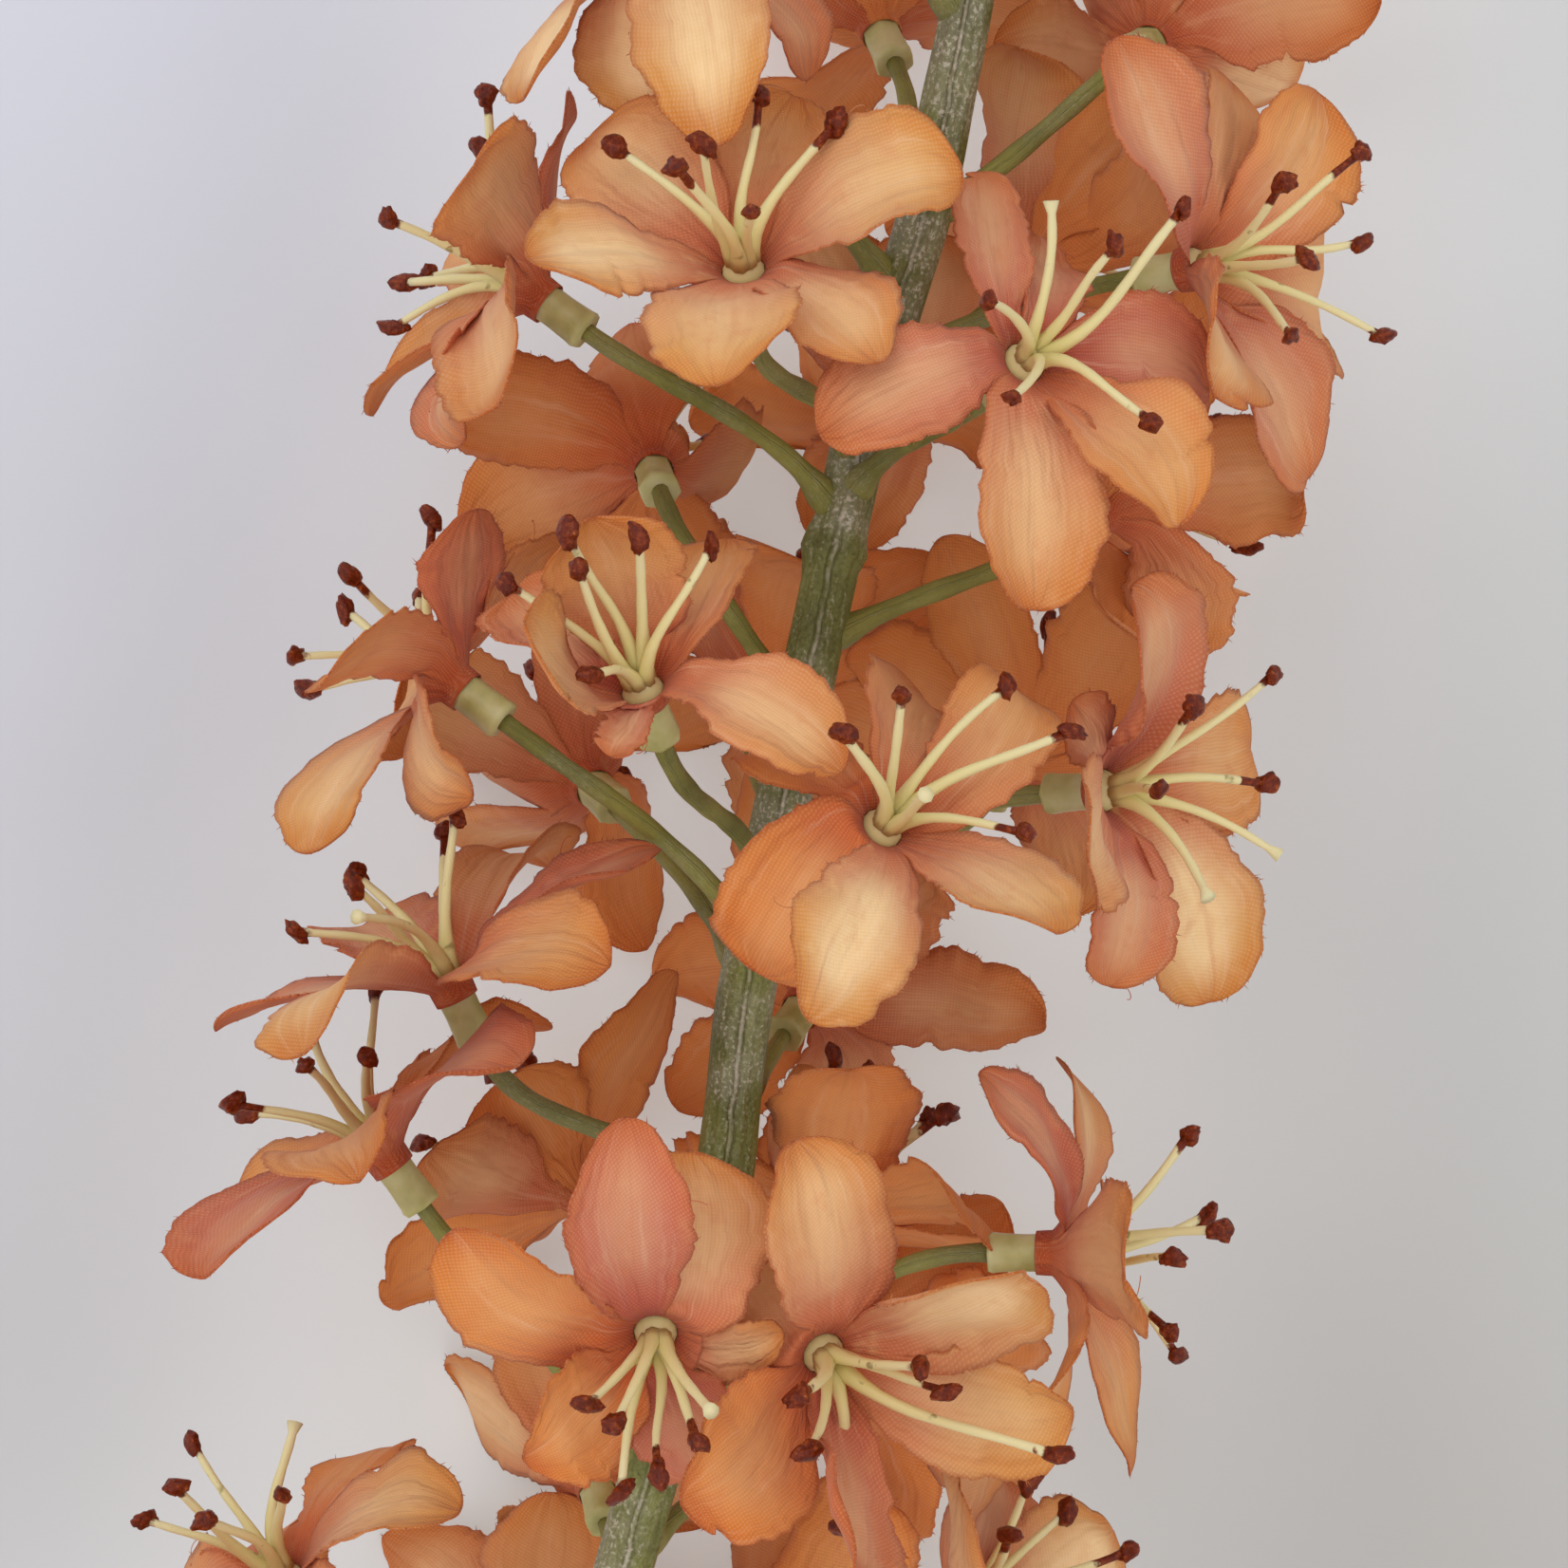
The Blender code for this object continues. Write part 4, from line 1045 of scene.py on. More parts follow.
def cut_sheet():
    """The flat sheet as it is cut: six lobes that join round the throat, on a grid of points."""
    lobe = added(
        "petal_lobe", bpy.ops.mesh.primitive_grid_add,
        x_subdivisions=LOBE_CELLS[0], y_subdivisions=LOBE_CELLS[1], size=2,
    )
    grid = points_of(lobe)
    side = grid[:, 0]
    share = THROAT + (1 - THROAT) * (1 - (1 - (grid[:, 1] + 1) / 2).clip(0) ** CROWDED_TIP)
    lobes = []
    for k in range(PLACES):
        one = copied(lobe, "lobe")
        write(one, "petal", np.stack([share, side, np.full_like(side, k)], axis=1))
        flat = flat_place(share, side, k)
        set_points(one, np.concatenate([flat, np.zeros((len(flat), 1))], axis=1), shift=False)
        lobes.append(one)
    removed(lobe)
    sheet = joined(lobes, "petal_sheet")
    bpy.ops.object.mode_set(mode="EDIT")
    bpy.ops.mesh.select_all(action="SELECT")
    bpy.ops.mesh.remove_doubles(threshold=0.002)
    bpy.ops.mesh.flip_normals()
    bpy.ops.object.mode_set(mode="OBJECT")
    return sheet


def flat_place(share, side, lobe):
    """Where a point of a lobe is on the flat cloth, in millimetres from the middle."""
    out = ROOT_START + share * PETAL_LENGTH * 0.95
    free = eased((share - SLIT_FROM) / (SLIT_TO - SLIT_FROM))
    half = PETAL_WIDTH / 2 * petal_half(share)
    aside = (1 - free) * out * np.sin(side * WEDGE) + free * side * half
    out = (1 - free) * out * np.cos(side * WEDGE) + free * out
    turn = lobe * 2 * math.pi / PLACES
    return np.stack(
        [-aside * np.cos(turn) - out * np.sin(turn), out * np.cos(turn) - aside * np.sin(turn)],
        axis=-1,
    )


WEAVE = 2 * math.pi / 0.33


def silk(name, pinker, painted_underside_shade):
    """Dyed silk: coral at the heart, peach in the middle, gold at the tip, with a fine weave whose
    threads carry a painted highlight and painted shade. For the backs of the sheets it is made
    pinker and mixed towards deep orange as painted shade.

    It reads "cloth" (flat place, bloom), "petal" (share, side, petal) and "dye"."""
    finish = Finish(
        name, Roughness=0.8, Specular_IOR_Level=0.15, Sheen_Weight=0.08, Sheen_Roughness=0.5,
    )
    cloth, petal, dye = (finish.stored(name) for name in ("cloth", "petal", "dye"))
    x, y = cloth[0], cloth[1]
    share, side = petal[0], petal[1].size()
    pink, deep, pale = dye[0], dye[1], dye[2]
    clouds = finish.mottle(cloth, 0.14, 3.0, 0.55)
    blots = finish.mottle(finish.stretched(cloth, 1.0, 1.0, 0.37), 0.3, 3.0, 0.6)
    dip = (share + (clouds - 0.5) * 0.45 * share.between(0.05, 0.35)).held()
    gold = finish.ramp(
        dip, (0.0, 184, 80, 42), (0.12, 204, 114, 76), (0.36, 216, 148, 106),
        (0.6, 220, 162, 104), (0.82, 214, 148, 74), (1.0, 200, 122, 44),
    )
    coral = finish.ramp(
        dip, (0.0, 164, 58, 40), (0.14, 184, 82, 64), (0.5, 198, 106, 84),
        (0.84, 196, 100, 70), (1.0, 184, 84, 44),
    )
    orange = finish.ramp(
        dip, (0.0, 176, 62, 24), (0.18, 204, 96, 42), (0.55, 222, 134, 64),
        (0.84, 216, 122, 48), (1.0, 196, 92, 28),
    )
    base = finish.mix((pink + pinker + (clouds - 0.5) * 0.4).between(0.05, 0.95), gold, coral)
    finish.base = finish.mix((deep * 0.9 + (clouds - 0.5) * deep).held(), base, orange)
    # Painted light: a deep share past 1 (dye s) lightens the colour to bright orange, a glow of light
    # through the silk of the shaded back blooms.
    finish.lay((deep - 1).held() * 0.9, 252, 166, 84)
    centre = (1 - (side + (blots - 0.5) * 0.5).between(0.0, 0.85)) * share.between(0.16, 0.5)
    centre = centre * (1 - share.between(0.74, 1.0))
    finish.lay(centre * (pale * 0.8 + 0.2), 246, 206, 152)
    finish.lay(blots.between(0.5, 0.8) * (pale * 0.5 + 0.12), 240, 196, 138)
    finish.lay((1 - blots).between(0.5, 0.8) * 0.35, 206, 114, 62)
    veins = finish.mottle(finish.stretched(petal, 1.5, 5.0, 1.0), 1.0, 3.0, 0.6)
    finish.lay(veins.between(0.48, 0.78) * 0.24, 198, 106, 60)
    finish.lay((1 - veins).between(0.54, 0.78) * 0.24, 248, 212, 176)
    broad_rim = ((side + (blots - 0.5) * 0.4).between(0.45, 1.1) + share.between(0.74, 1.05)).held()
    finish.lay(broad_rim * 0.3, 210, 118, 52)
    thin_rim = ((side + (blots - 0.5) * 0.1).between(0.92, 1.0) + share.between(0.97, 1.0)).held()
    finish.lay(thin_rim * 0.5, 170, 72, 28)
    # Painted shade: the copy for the backs of the sheets is mixed this much towards deep orange to
    # darken the undersides.
    finish.lay(painted_underside_shade, 204, 96, 40)
    warp = (x * WEAVE).sine() * 0.5 + 0.5
    weft = (y * WEAVE).sine() * 0.5 + 0.5
    threads = warp * weft
    # Painted highlight on the thread crossings and painted shade between the warp threads; the weave's
    # bump below is real relief.
    finish.lay(threads * 0.13, 252, 226, 196)
    finish.lay((1 - warp) * 0.07, 160, 74, 44)
    creases = finish.mottle(finish.stretched(petal, 2.2, 3.2, 1.0), 1.0, 2.0, 0.5)
    height = threads * 0.1 + veins * 0.4 + creases.between(0.3, 0.7) * 1.2
    return finish.end(height, 0.0005, 0.45)


silk_front = silk("peach_silk", 0.0, 0.0)
# The backs of the sheets: the same silk, pinker and with painted shade in deep orange.
silk_shaded_back = silk("peach_silk_shaded_back", 0.08, 0.25)

sheet = cut_sheet()
cut = points_of(sheet)
rows = np.empty(len(cut) * 3)
sheet.data.attributes["petal"].data.foreach_get("vector", rows)
share, side, lobe = rows.reshape(-1, 3).T
lobe = lobe.round().astype(int)


def rough(places, lot):
    """Soft random numbers, -1 to 1, at each of these places."""
    return np.array([noise.noise(Vector((*place[:2], lot + sum(place[2:])))) for place in places])


# The pressed petal's edge waves in three sizes: waves along it, and how deep they go, the broad ones
# as shares of its half width and more so in its far part. Heights and depths are in millimetres.
BROAD_WAVES, BROAD_SHARE, BROAD_FAR_SHARE = 5, 0.19, 0.14
SHORT_WAVES, SHORT_DEPTH = 19, 0.6
FINE_WAVES, FINE_DEPTH = 47, 0.32
FAR_FROM = 0.62
NOTCH_HALF = 0.017
RIB_HEIGHT = 0.11
GROOVE_DEPTH, GROOVE_HALF = 0.24, 0.11
BULGE_HEIGHT = 0.7
DRAWN_WIDTH = 1.05
FULL_HALF = PETAL_WIDTH / 2


class Pressed:
    """The form one petal is pressed and bent to: an outline of its own, ribs, curls and ruffles."""

    def __init__(self, petal, width, draw):
        self.petal = petal
        self.width = width * DRAWN_WIDTH
        self.belly = draw.uniform(1.4, 1.75)
        self.blunt = draw.uniform(0.48, 0.7), draw.uniform(0.48, 0.7)
        self.cup = draw.uniform(0.5, 1.8)
        self.curl = draw.uniform(-1.1, 1.7), draw.uniform(-1.1, 1.7)
        self.tip_curl = draw.uniform(-3.0, 2.2)
        self.tip_swing = draw.uniform(-1.3, 1.3)
        self.twist = draw.uniform(-0.3, 0.3)
        self.ribs = draw.uniform(6, 10)
        self.ruffle = draw.uniform(0.3, 0.9)
        self.ruffles = draw.uniform(6, 12)
        self.lot = draw.uniform(0, 90)
        self.notch = draw.uniform(0.45, 1.5), draw.choice((0, 1)), draw.uniform(0.5, 1.6)

    def points(self, at, aside):
        s = at.clip(0, 1)
        point, across, normal = self.petal.frame(s)
        hand = np.where(aside > 0, 1.0, 0.0)
        open_out = np.sin(math.pi * s).clip(0) ** 0.5
        scale = self.petal.half_width / FULL_HALF
        broad, short, fine = (
            rough(np.stack([s * waves, hand * 9], axis=1), self.lot + more)
            for waves, more in ((BROAD_WAVES, 0), (SHORT_WAVES, 5), (FINE_WAVES, 3))
        )
        half = petal_half(s, self.belly, np.where(hand > 0, *self.blunt))
        half = self.width * self.petal.half_width * half
        far = eased((s - FAR_FROM) / (1 - FAR_FROM))
        half = half * (1 + (BROAD_SHARE + BROAD_FAR_SHARE * far) * broad)
        half += short * open_out * SHORT_DEPTH
        half += fine * open_out * FINE_DEPTH
        notch, notch_hand, notch_depth = self.notch
        half -= notch_depth * np.exp(-(((s - notch) / NOTCH_HALF) ** 2)) * (hand == notch_hand)
        over = aside * half + self.tip_swing * far * scale
        bulge = rough(np.stack([s * 3.2, aside * 1.3], axis=1), self.lot + 9)
        height = PETAL_CUP * half * aside**2 * self.cup
        height += np.where(hand > 0, *self.curl) * aside**4 * open_out * scale
        height += RIB_HEIGHT * np.cos(aside * self.ribs + self.lot + bulge * 2) * open_out
        height -= GROOVE_DEPTH * np.exp(-((aside / GROOVE_HALF) ** 2)) * open_out * (1 - far * 0.7)
        height += bulge * BULGE_HEIGHT * open_out * scale
        ruffled = np.sin(s * self.ruffles + self.lot + 2 * aside)
        height += self.ruffle * np.abs(aside) ** 2.5 * ruffled * open_out * scale
        height += self.tip_curl * far**2 * scale
        turn = (self.twist * s)[:, None]
        leaning = across * np.cos(turn) + normal * np.sin(turn)
        lifted = normal * np.cos(turn) - across * np.sin(turn)
        return point + leaning * over[:, None] + lifted * height[:, None]


def on_cone(bloom, petal, at, aside):
    """Where the sheet lies round the heart, before its lobes part: a cone, and a neck below it."""
    run = at * PETAL_LENGTH * bloom.size * ROOT_RUN
    out = ROOT_START + np.where(run < 0, run * NECK_TAPER, run)
    rise = np.where(run < 0, run, run * ROOT_SLOPE)
    turns = petal.azimuth + aside * WEDGE
    ring = np.outer(np.cos(turns), bloom.across) + np.outer(np.sin(turns), bloom.up)
    return bloom.heart + ring * out[:, None] + np.outer(rise, bloom.facing)


# The frayed edge: a fringe of short loose threads, and a longer curled one here and there.
FRAYED = 46
FRINGE_RADIUS = 0.075
FRINGE_ROOT = 0.08
LOOSE_RADIUS = 0.055
LOOSE_BLOOMS = 14
fringe_blank = added(
    "fringe_blank", bpy.ops.mesh.primitive_cone_add,
    vertices=3, radius1=1, depth=1, end_fill_type="NGON", location=(0, 0, 0.5),
)
bpy.ops.object.transform_apply()
thread_form = points_of(fringe_blank)
applied(fringe_blank, "ARRAY", count=FRAYED * PLACES, relative_offset_displace=(1, 0, 0))
loose_blank = tube("loose_thread_blank", 3, 14)
for blank in (fringe_blank, loose_blank):
    for name in ("petal", "cloth", "dye"):
        write(blank, name)


def set_dye(piece, at, aside, k, n, dyes):
    """Stores what the silk's material reads, for points on the petals k of bloom n."""
    flat = flat_place(at, aside, k)
    k = np.broadcast_to(k, at.shape)
    rows = {
        "cloth": np.stack([flat[:, 0], flat[:, 1], np.full(len(at), 40.0 * n)], axis=1),
        "petal": np.stack([at, aside, 7.3 * k + 50.0 * n], axis=1),
        "dye": np.array(dyes)[k],
    }
    for name, values in rows.items():
        rewrite(piece, name, values)


def outward(form, at, aside):
    """A place on a petal's edge and the way out from it."""
    edge = form.points(at, aside)
    return edge, units(edge - form.points(at - 0.1, aside * 0.5))


def fringe(n, forms, dyes, rng):
    """Short threads along the edges of all petals of a bloom."""
    piece = copied(fringe_blank, "fringe")
    k = np.repeat(np.arange(PLACES), FRAYED)
    at = 1 - 0.76 * rng.random(len(k)) ** 1.3
    aside = rng.choice((-1.0, 1.0), len(k))
    points = []
    for j, form in enumerate(forms):
        edge, out = outward(form, at[k == j], aside[k == j])
        lean = units(out + rng.normal(0, 0.45, out.shape))
        wide = units(np.cross(lean, form.petal.facing))
        deep = np.cross(lean, wide)
        length = (0.2 + 0.65 * rng.random(len(out)) ** 2.5)[:, None, None]
        spread = wide[:, None] * thread_form[None, :, :1] + deep[:, None] * thread_form[None, :, 1:2]
        along = lean[:, None] * (thread_form[None, :, 2:] * length - FRINGE_ROOT)
        points.append((edge[:, None] + spread * FRINGE_RADIUS + along).reshape(-1, 3))
    set_points(piece, pressed(np.concatenate(points), LIFT_OFF_SURFACE))
    corners = len(thread_form)
    k, at, aside = (np.repeat(row, corners) for row in (k, at, aside))
    set_dye(piece, at, aside, k, n, dyes)
    piece.data.materials.append(silk_front)
    return piece


def loose_thread(n, k, form, dyes, rng):
    """One long thread that hangs out of a petal's edge in a curl."""
    piece = copied(loose_blank, "loose_thread")
    at, aside = np.array([rng.uniform(0.5, 0.99)]), rng.choice((-1.0, 1.0), 1)
    edge, out = outward(form, at, aside)
    t = np.linspace(0, 1, 30)[:, None]
    bend = units(np.cross(out, form.petal.facing))
    length = rng.uniform(1.4, 3.4)
    run = edge + out * np.sin(t * 1.9) * length * 0.6 + bend * (1 - np.cos(t * 2.6)) * length * 0.3
    run += form.petal.facing * np.sin(t * 2.2) * rng.uniform(-0.7, 0.9)
    swept(piece, pressed(run, LIFT_OFF_SURFACE), lambda s, turn: LOOSE_RADIUS + 0 * s)
    count = len(piece.data.vertices)
    set_dye(piece, np.full(count, at[0]), np.full(count, aside[0]), k, n, dyes)
    piece.data.materials.append(silk_front)
    return piece


def pressed_sheet(n, bloom):
    """A copy of the cut sheet, pressed and bent to the petals of a bloom, with its frayed edge."""
    piece = copied(sheet, "petals")
    draw = random.Random(100 + n)
    rng = np.random.default_rng(700 + n)
    points = np.empty_like(cut)
    dyes, forms = [], []
    for k, petal in enumerate(bloom.petals):
        row = bloom.rows[k]
        seen = row is not None and n <= len(SEEN_DYES)
        lot = draw.choice(OTHER_DYES)
        dyes.append(DYES[SEEN_DYES[n - 1][row] if seen else lot])
        width = CUT_WIDTHS.get((n, row), 1) if seen else draw.uniform(0.85, 1.08)
        form = Pressed(petal, width, draw)
        mine = lobe == k
        at, aside = share[mine], side[mine]
        free = eased((at - SLIT_FROM) / (SLIT_TO - SLIT_FROM))[:, None]
        cone = on_cone(bloom, petal, at, aside)
        points[mine] = cone * (1 - free) + form.points(at, aside) * free
        forms.append(form)
    set_points(piece, pressed(points, LIFT_OFF_SURFACE))
    for name in ("cloth", "dye"):
        write(piece, name)
    set_dye(piece, share, side, lobe, n, dyes)
    piece.data.materials.append(silk_front)
    # The backs of the sheets take the silk with painted shade.
    piece.data.materials.append(silk_shaded_back)
    applied(
        piece, "SOLIDIFY", thickness=SHEET_THICKNESS * MM, offset=0,
        material_offset=1, material_offset_rim=0,
    )
    threads = [fringe(n, forms, dyes, rng)]
    if n <= LOOSE_BLOOMS:
        chosen = rng.choice(PLACES, 2, replace=False)
        threads += [loose_thread(n, k, forms[k], dyes, rng) for k in chosen]
    piece = joined([piece, *threads], f"petals_{n:02d}")
    piece.data.shade_smooth()
    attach(piece, "root")
    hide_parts(f"bloom_{n:02d}")


for n, bloom in enumerate(blooms, 1):
    pressed_sheet(n, bloom)
removed(sheet, fringe_blank, loose_blank)

# The sleeves. Short faceted tubes of pale olive plastic, cut from a thin hose: each is pushed over
# the end of its pedicel and holds the petals and the stamens, with a thicker lip at its lower end.
sleeve_finish = Finish(
    "sleeve_plastic", Roughness=0.42, Specular_IOR_Level=0.45,
    Subsurface_Weight=0.35, Subsurface_Scale=0.001, Subsurface_Radius=(1.0, 1.0, 0.5),
)
cloudy = sleeve_finish.mottle(sleeve_finish.place(), 260.0, 3.0)
sleeve_finish.base = sleeve_finish.ramp(
    cloudy, (0.3, 170, 164, 98), (0.5, 194, 188, 126), (0.75, 214, 208, 160)
)
sleeve_plastic = sleeve_finish.end(cloudy, 0.0002, 0.5)

SLEEVE_PROFILE = ((0.0, 1.95), (0.07, 2.15), (0.15, 2.05), (0.55, 1.92), (0.92, 1.98), (1.0, 1.8))
SLEEVE_TOP = -0.35


def on_axis(bloom, form, profile, rise, swell=1.0):
    """A unit tube's points laid round a bloom's axis, this high above its heart and as wide as the
    profile; its ends are drawn in to the axis."""
    wide = np.interp(form[:, 2], *zip(*profile)) * swell
    wide = np.where(np.hypot(form[:, 0], form[:, 1]) > 0.5, wide, 0)[:, None]
    round_it = bloom.across * form[:, :1] + bloom.up * form[:, 1:2]
    return bloom.heart + np.outer(rise, bloom.facing) + round_it * wide


blank = tube("sleeve_blank", 12, 14)
form = points_of(blank)
facets = 1 + 0.05 * np.cos(6 * turns_of(form))
rise = (form[:, 2] - 1) * (SLEEVE_LENGTH + SLEEVE_TOP) + SLEEVE_TOP
tubes = []
for bloom in blooms:
    one = copied(blank, "sleeve")
    set_points(one, on_axis(bloom, form, SLEEVE_PROFILE, rise, facets))
    tubes.append(one)
removed(blank)
sleeves = joined(tubes, "sleeves")
sleeves.data.shade_smooth()
dress(sleeves, sleeve_plastic, "stem_green", *(f"bloom_{n:02d}" for n in range(1, len(blooms) + 1)))

# The stamens. A soft cream plastic cup with six filaments in one moulding, pushed into the sleeve.
# Each filament's end is dipped in thick red-brown paint, which dries to a rough lump for an anther
# and leaves specks down the filament.
stamen_finish = Finish(
    "cream_plastic_and_paint", Roughness=0.45, Specular_IOR_Level=0.25,
    Subsurface_Weight=0.3, Subsurface_Scale=0.001, Subsurface_Radius=(1.0, 0.9, 0.4),
)
place = stamen_finish.place()
paint = stamen_finish.stored("paint")
stamen_finish.base = stamen_finish.ramp(
    paint[0], (0.0, 214, 198, 126), (0.3, 224, 208, 148), (1.0, 224, 210, 164)
)
stains = stamen_finish.mottle(place, 420.0, 3.0).between(0.66, 0.74)
stamen_finish.lay(stains * 0.7, 122, 104, 48)
lumps = stamen_finish.mottle(place, 1500.0, 4.0, 0.7)
brown = stamen_finish.ramp(
    lumps, (0.32, 78, 18, 0), (0.52, 112, 34, 2), (0.66, 150, 66, 20), (0.78, 196, 138, 92)
)
drip = (paint[1] + (stamen_finish.mottle(place, 900.0, 2.0) - 0.5) * 0.5).between(0.45, 0.55)
stamen_finish.base = stamen_finish.mix(drip, stamen_finish.base, brown)
stamen_plastic = stamen_finish.end(lumps * drip, 0.0004, 0.7, 0.45 - drip * 0.15)

filament = tube("filament_blank", 8, 12)
filament_form = points_of(filament)
write(filament, "paint")
ANTHER_HOOKS = (0.0, 0.2, -0.35, 0.1, 0.55, -0.15)
anthers = []
for v, hook in enumerate(ANTHER_HOOKS):
    lump = added(f"anther_blank_{v}", bpy.ops.mesh.primitive_ico_sphere_add, subdivisions=3, radius=1)
    form = points_of(lump)
    lumpy = 1 + 0.42 * rough(form * 1.1, 7.0 * v) + 0.2 * rough(form * 2.6, 9.0 * v + 2)
    hooked = form * lumpy[:, None]
    hooked[:, 0] += hook * hooked[:, 2] ** 2
    set_points(lump, hooked, shift=False)
    write(lump, "paint", np.tile((0.0, 1.0, 0.0), (len(form), 1)))
    anthers.append(lump)
cup_blank = tube("cup_blank", 12, 6)
cup_form = points_of(cup_blank)
write(cup_blank, "paint", cup_form[:, 2:] * (0.8, 0, 0))
CUP_PROFILE = ((0.0, 2.1), (0.2, 2.05), (0.4, 1.7), (0.7, 1.4), (1.0, 1.0))
CUP_DEPTH = 2.5
CUP_SINK = 0.6
CUP_SWELL = 0.35
CROWN = 0.2
BARE_SHARE = 0.1
# Where the dip in paint starts along a filament, one of these by lot, and how sharply.
DIP_STARTS = (0.74, 0.76, 0.76, 0.62)
DIP_SHARPNESS = 2.6
cup_end = cup_form[:, 2] > 0.9
cup_middle = np.where((np.hypot(cup_form[:, 0], cup_form[:, 1]) < 0.5) & cup_end, CUP_SWELL, 0)

for n, bloom in enumerate(blooms, 1):
    draw = random.Random(500 + n)
    cup = copied(cup_blank, "cup")
    crown = CROWN * np.cos(6 * turns_of(cup_form) + n) * cup_end
    rise = cup_form[:, 2] * CUP_DEPTH - CUP_SINK + cup_middle + crown * 2
    set_points(cup, on_axis(bloom, cup_form, CUP_PROFILE, rise, bloom.size * (1 + crown)))
    parts = [cup]
    for stamen in bloom.stamens:
        thread = copied(filament, "filament")
        t = np.linspace(0, 1, 40)
        bend = unit(np.cross(stamen.controls[3] - stamen.controls[0], bloom.facing))
        run = bezier(stamen.controls, t * 0.93)
        run += np.outer(np.sin(math.pi * t), bend) * draw.uniform(-0.7, 0.7)
        run += np.outer(np.sin(2 * math.pi * t), bend) * draw.uniform(-0.35, 0.35)
        thick = draw.uniform(0.44, 0.54) * bloom.size
        bare = draw.random() < BARE_SHARE
        flare = 0.8 if bare else 0.15

        def filament_spread(share, turn):
            uneven = 0.06 * np.sin(share * 23 + n) + 0.05 * np.cos(2 * turn + share * 5)
            ends = 0.8 * (1 - share) ** 7 + flare * (share > 0.95)
            return thick * (1.22 - 0.4 * share + ends + uneven)

        swept(thread, pressed(run, thick), filament_spread)
        dipped = (filament_form[:, 2] - draw.choice(DIP_STARTS)) * DIP_SHARPNESS
        dipped = 0 * dipped if bare else dipped.clip(0, 1)
        rewrite(thread, "paint", np.stack([filament_form[:, 2], dipped, 0 * dipped], axis=1))
        parts.append(thread)
        if bare:
            continue
        head = copied(draw.choice(anthers), "anther")
        form = points_of(head)
        along = bezier_direction(stamen.controls, 0.95)
        tilt = unit(np.array([draw.uniform(-1, 1) for _ in range(3)]))
        lie = unit(along + 0.7 * tilt)
        wide = unit(np.cross(lie, tilt))
        deep = np.cross(lie, wide)
        long_half = draw.uniform(1.1, 1.8) * bloom.size
        half = draw.uniform(0.85, 1.15) * bloom.size
        centre = bezier(stamen.controls, 0.96)
        placed = centre + np.outer(form[:, 2] * long_half, lie)
        placed += np.outer(form[:, 0] * half, wide) + np.outer(form[:, 1] * half * 0.8, deep)
        set_points(head, pressed(placed, 0.1))
        parts.append(head)
    spray = joined(parts, f"stamens_{n:02d}")
    spray.data.shade_smooth()
    dress(spray, stamen_plastic, "petal_silk", f"bloom_{n:02d}")
removed(filament, cup_blank, *anthers)

# The buds. Closed olive green knobs with three soft corners, on short stalks, moulded with the
# stem's tip and smaller towards it.
BUD_COUNT = 14
BUD_FIRST = 372
BUD_LENGTH = 11
BUD_RADIUS = 2.6
BUD_STALK = 13
STALK_RADIUS = 0.76


def tip_buds(draw):
    """The buds on a spiral up to the stem's tip: (foot or None, neck, end, radius) of each."""
    found = []
    for n in range(BUD_COUNT):
        share = n / (BUD_COUNT - 1)
        angle = math.radians(GOLDEN_TURN * n + draw.uniform(-10, 10))
        out = np.array([0, math.cos(angle), math.sin(angle)])
        size = 1.0 - 0.45 * share
        lean = unit(out * (1 - 0.4 * share) + np.array([0.8 + 0.5 * share, 0, 0]))
        foot = stem_point(BUD_FIRST + (STEM_LENGTH - BUD_FIRST - 4) * share)
        neck = foot + lean * BUD_STALK * size
        found.append((foot, neck, neck + lean * BUD_LENGTH * size, BUD_RADIUS * size))
    tip = stem_point(STEM_LENGTH)
    lean = unit(tip - stem_point(STEM_LENGTH - 5))
    found.append((None, tip - lean * 2, tip + lean * BUD_LENGTH * 0.5, BUD_RADIUS * 0.7))
    return found


bud_blank = tube("bud_blank", 12, 16)
stalk_blank = tube("stalk_blank", 8, 4)
for blank in (bud_blank, stalk_blank):
    write(blank, "mould")
BUD_PROFILE = (
    (0, 0.35), (0.12, 0.62), (0.28, 0.88), (0.45, 1.0), (0.65, 0.86), (0.8, 0.62), (0.95, 0.2),
    (1, 0.02),
)
parts = []
for foot, neck, end, radius in tip_buds(random.Random(SEED + 1)):
    bud = copied(bud_blank, "bud")
    run = neck + np.outer(np.linspace(0, 1, 20), end - neck)
    swept(bud, run, lambda s, t: radius * np.interp(s, *zip(*BUD_PROFILE)) * (1 + 0.05 * np.cos(3 * t)))
    parts.append(bud)
    if foot is not None:
        stalk = copied(stalk_blank, "stalk")
        run = foot + np.outer(np.linspace(0, 1.15, 8), neck - foot)
        swept(stalk, run, lambda s, t: STALK_RADIUS + 0 * s)
        parts.append(stalk)
removed(bud_blank, stalk_blank)
buds = joined(parts, "tip_buds")
buds.data.shade_smooth()
bud_plastic = green_plastic("bud_plastic", (170, 160, 96), (120, 130, 70), 0.2)
dress(buds, bud_plastic, "stem_green", "stem")
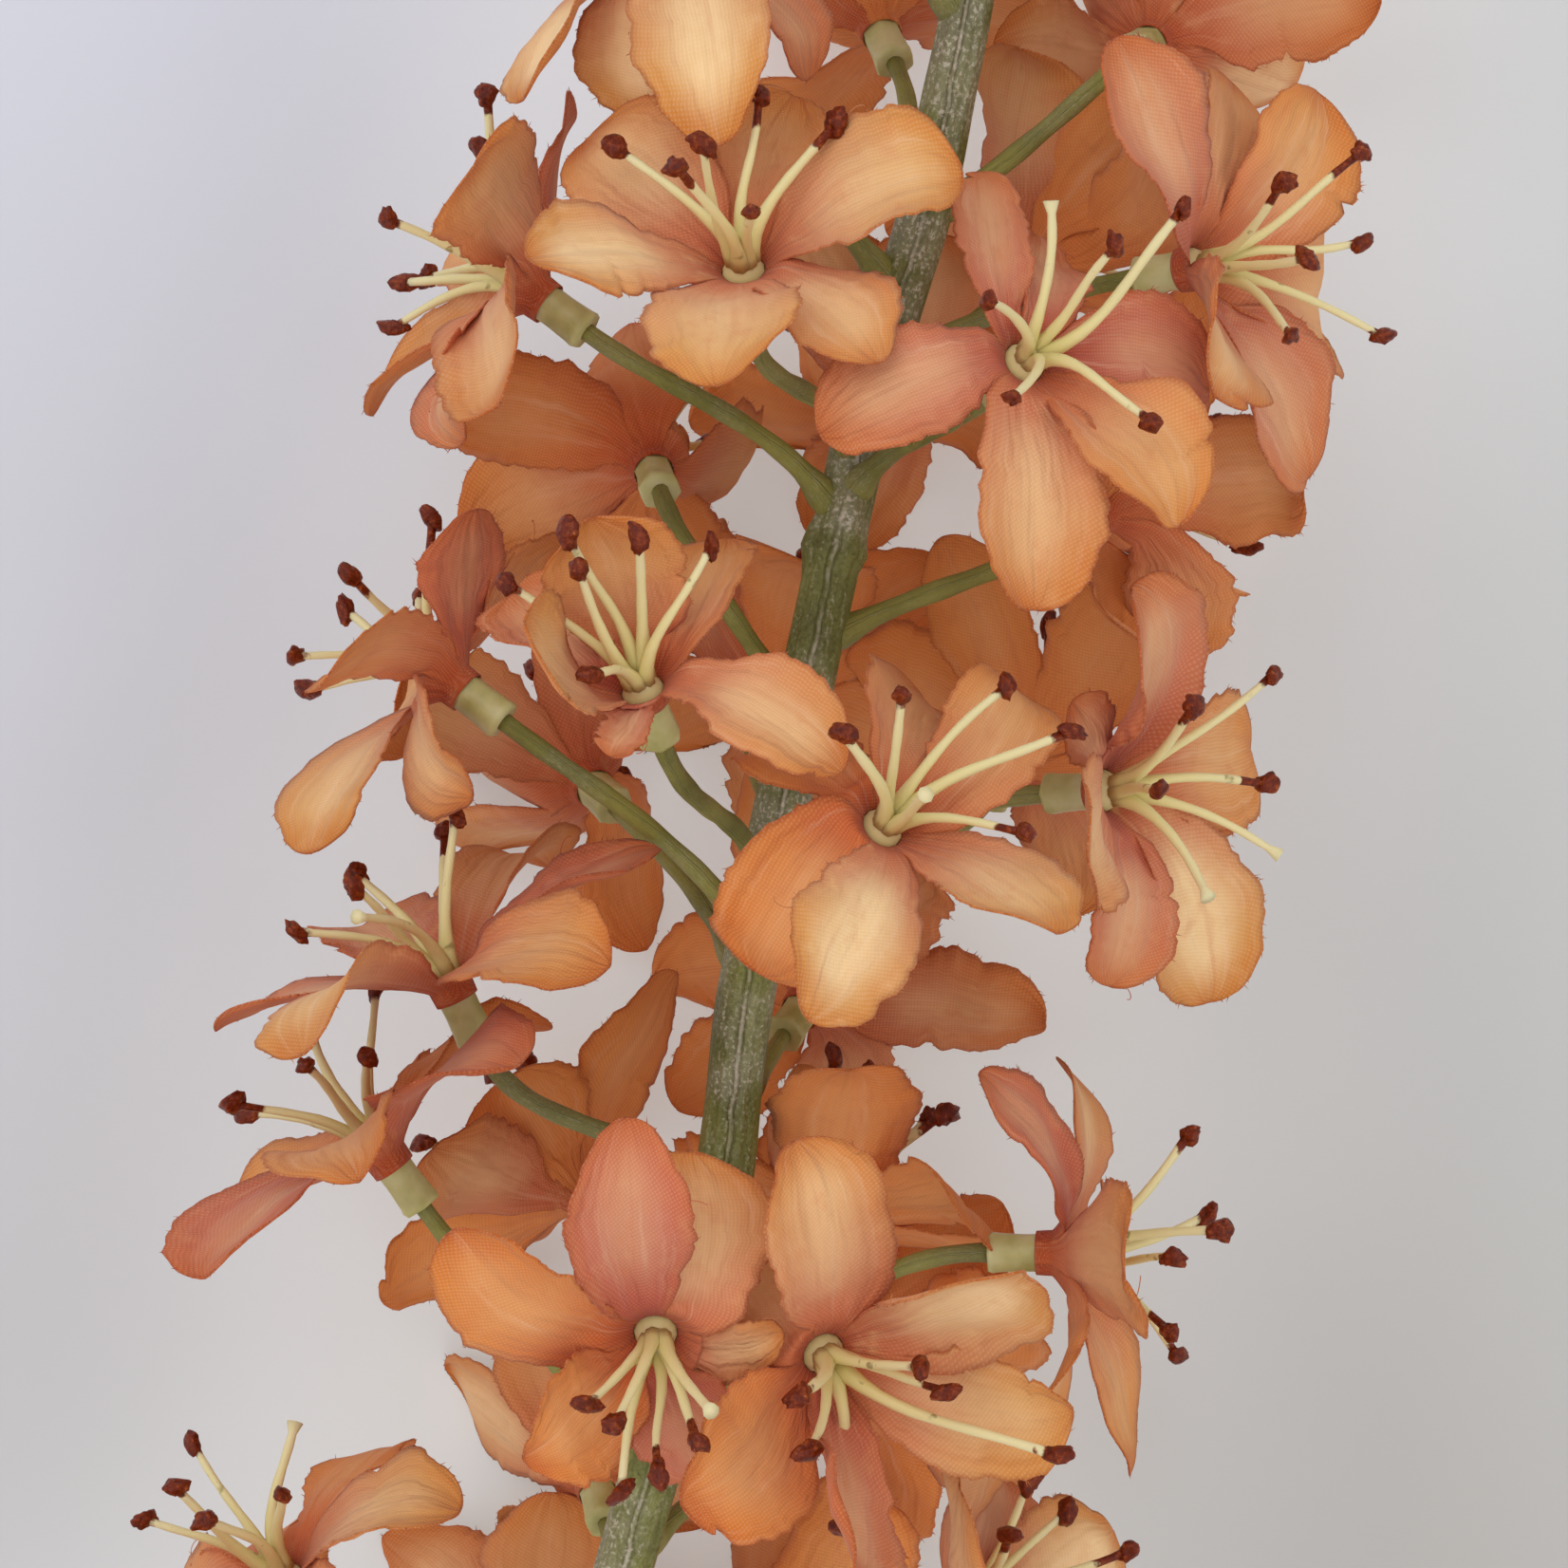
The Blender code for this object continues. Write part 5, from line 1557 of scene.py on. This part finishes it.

# The surface, the light and the camera. A pale board, its colour painted lighter and cooler towards
# the upper left and darker and warmer towards the lower right as painted light, and lit a little
# from within where the spike shades it, under soft daylight from large windows, with the camera
# straight above the middle of the spike, turned a little.
floor = added("floor", bpy.ops.mesh.primitive_plane_add, size=6)
board = Finish("pale_board", Roughness=0.9, Specular_IOR_Level=0.1, Emission_Strength=0.28)
where = board.place()
# Painted light: the board's colour is lighter and cooler towards the upper left and darker and warmer
# towards the lower right, for the fall of the light.
up_share = (where[0] * 6 + 0.5).held()
left_share = (where[1] * 6 + 0.5 + (board.mottle(where, 5.0) - 0.5) * 0.2).held()
lower = board.mix(left_share, colour(184, 181, 176), colour(202, 201, 202))
upper = board.mix(left_share, colour(211, 214, 213), colour(214, 216, 226))
under_spike = (1 - where[1].size().between(0.01, 0.08)) * (1 - where[0].size().between(0.2, 0.29))
glow = board.mix(under_spike, colour(0, 0, 0), colour(252, 255, 251))
board.tree.links.new(glow.socket, board.surface.inputs["Emission Color"])
board.base = board.mix(up_share, lower, upper)
board.end()
floor.data.materials.append(board.material)

world = bpy.data.worlds.new("soft_room")
bpy.context.scene.world = world
world.use_nodes = True
daylight = world.node_tree.nodes["Background"].inputs
daylight["Color"].default_value = (0.95, 0.97, 1.0, 1)
daylight["Strength"].default_value = 0.86


def soft_light(name, place, size, power, tint):
    """A round soft light that shines at the spike."""
    data = bpy.data.lights.new(name, "AREA")
    data.shape = "DISK"
    data.size = size
    data.energy = power
    data.color = tint
    light = bpy.data.objects.new(name, data)
    light.location = place
    light.rotation_euler = (-Vector(place)).to_track_quat("-Z", "Y").to_euler()
    bpy.context.scene.collection.objects.link(light)


soft_light("window", (0.9, 1.3, 2.8), 2.6, 24, (0.99, 0.99, 1.0))
soft_light("fill", (-1.2, -1.4, 2.2), 2.2, 10, (1.0, 0.97, 0.92))

AIM_HEIGHT = 44
CAMERA_HEIGHT = 620
CAMERA_TURN = math.radians(12.06)
SEEN_HALF = 78.47
camera = bpy.data.objects.new("camera", bpy.data.cameras.new("camera"))
bpy.context.scene.collection.objects.link(camera)
right = Vector((math.sin(CAMERA_TURN), -math.cos(CAMERA_TURN), 0))
up = Vector((math.cos(CAMERA_TURN), math.sin(CAMERA_TURN), 0))
turned = Matrix((right, up, (0, 0, 1))).transposed().to_4x4()
turned.translation = Vector(((np.array([MIDDLE, 0, AIM_HEIGHT + CAMERA_HEIGHT]) + SHIFT) * MM).tolist())
camera.matrix_world = turned
camera.data.sensor_fit = "HORIZONTAL"
camera.data.angle = 2 * math.atan(SEEN_HALF / CAMERA_HEIGHT)
camera.data.clip_start = 0.01
bpy.context.scene.camera = camera
bpy.context.scene.view_settings.view_transform = "Standard"
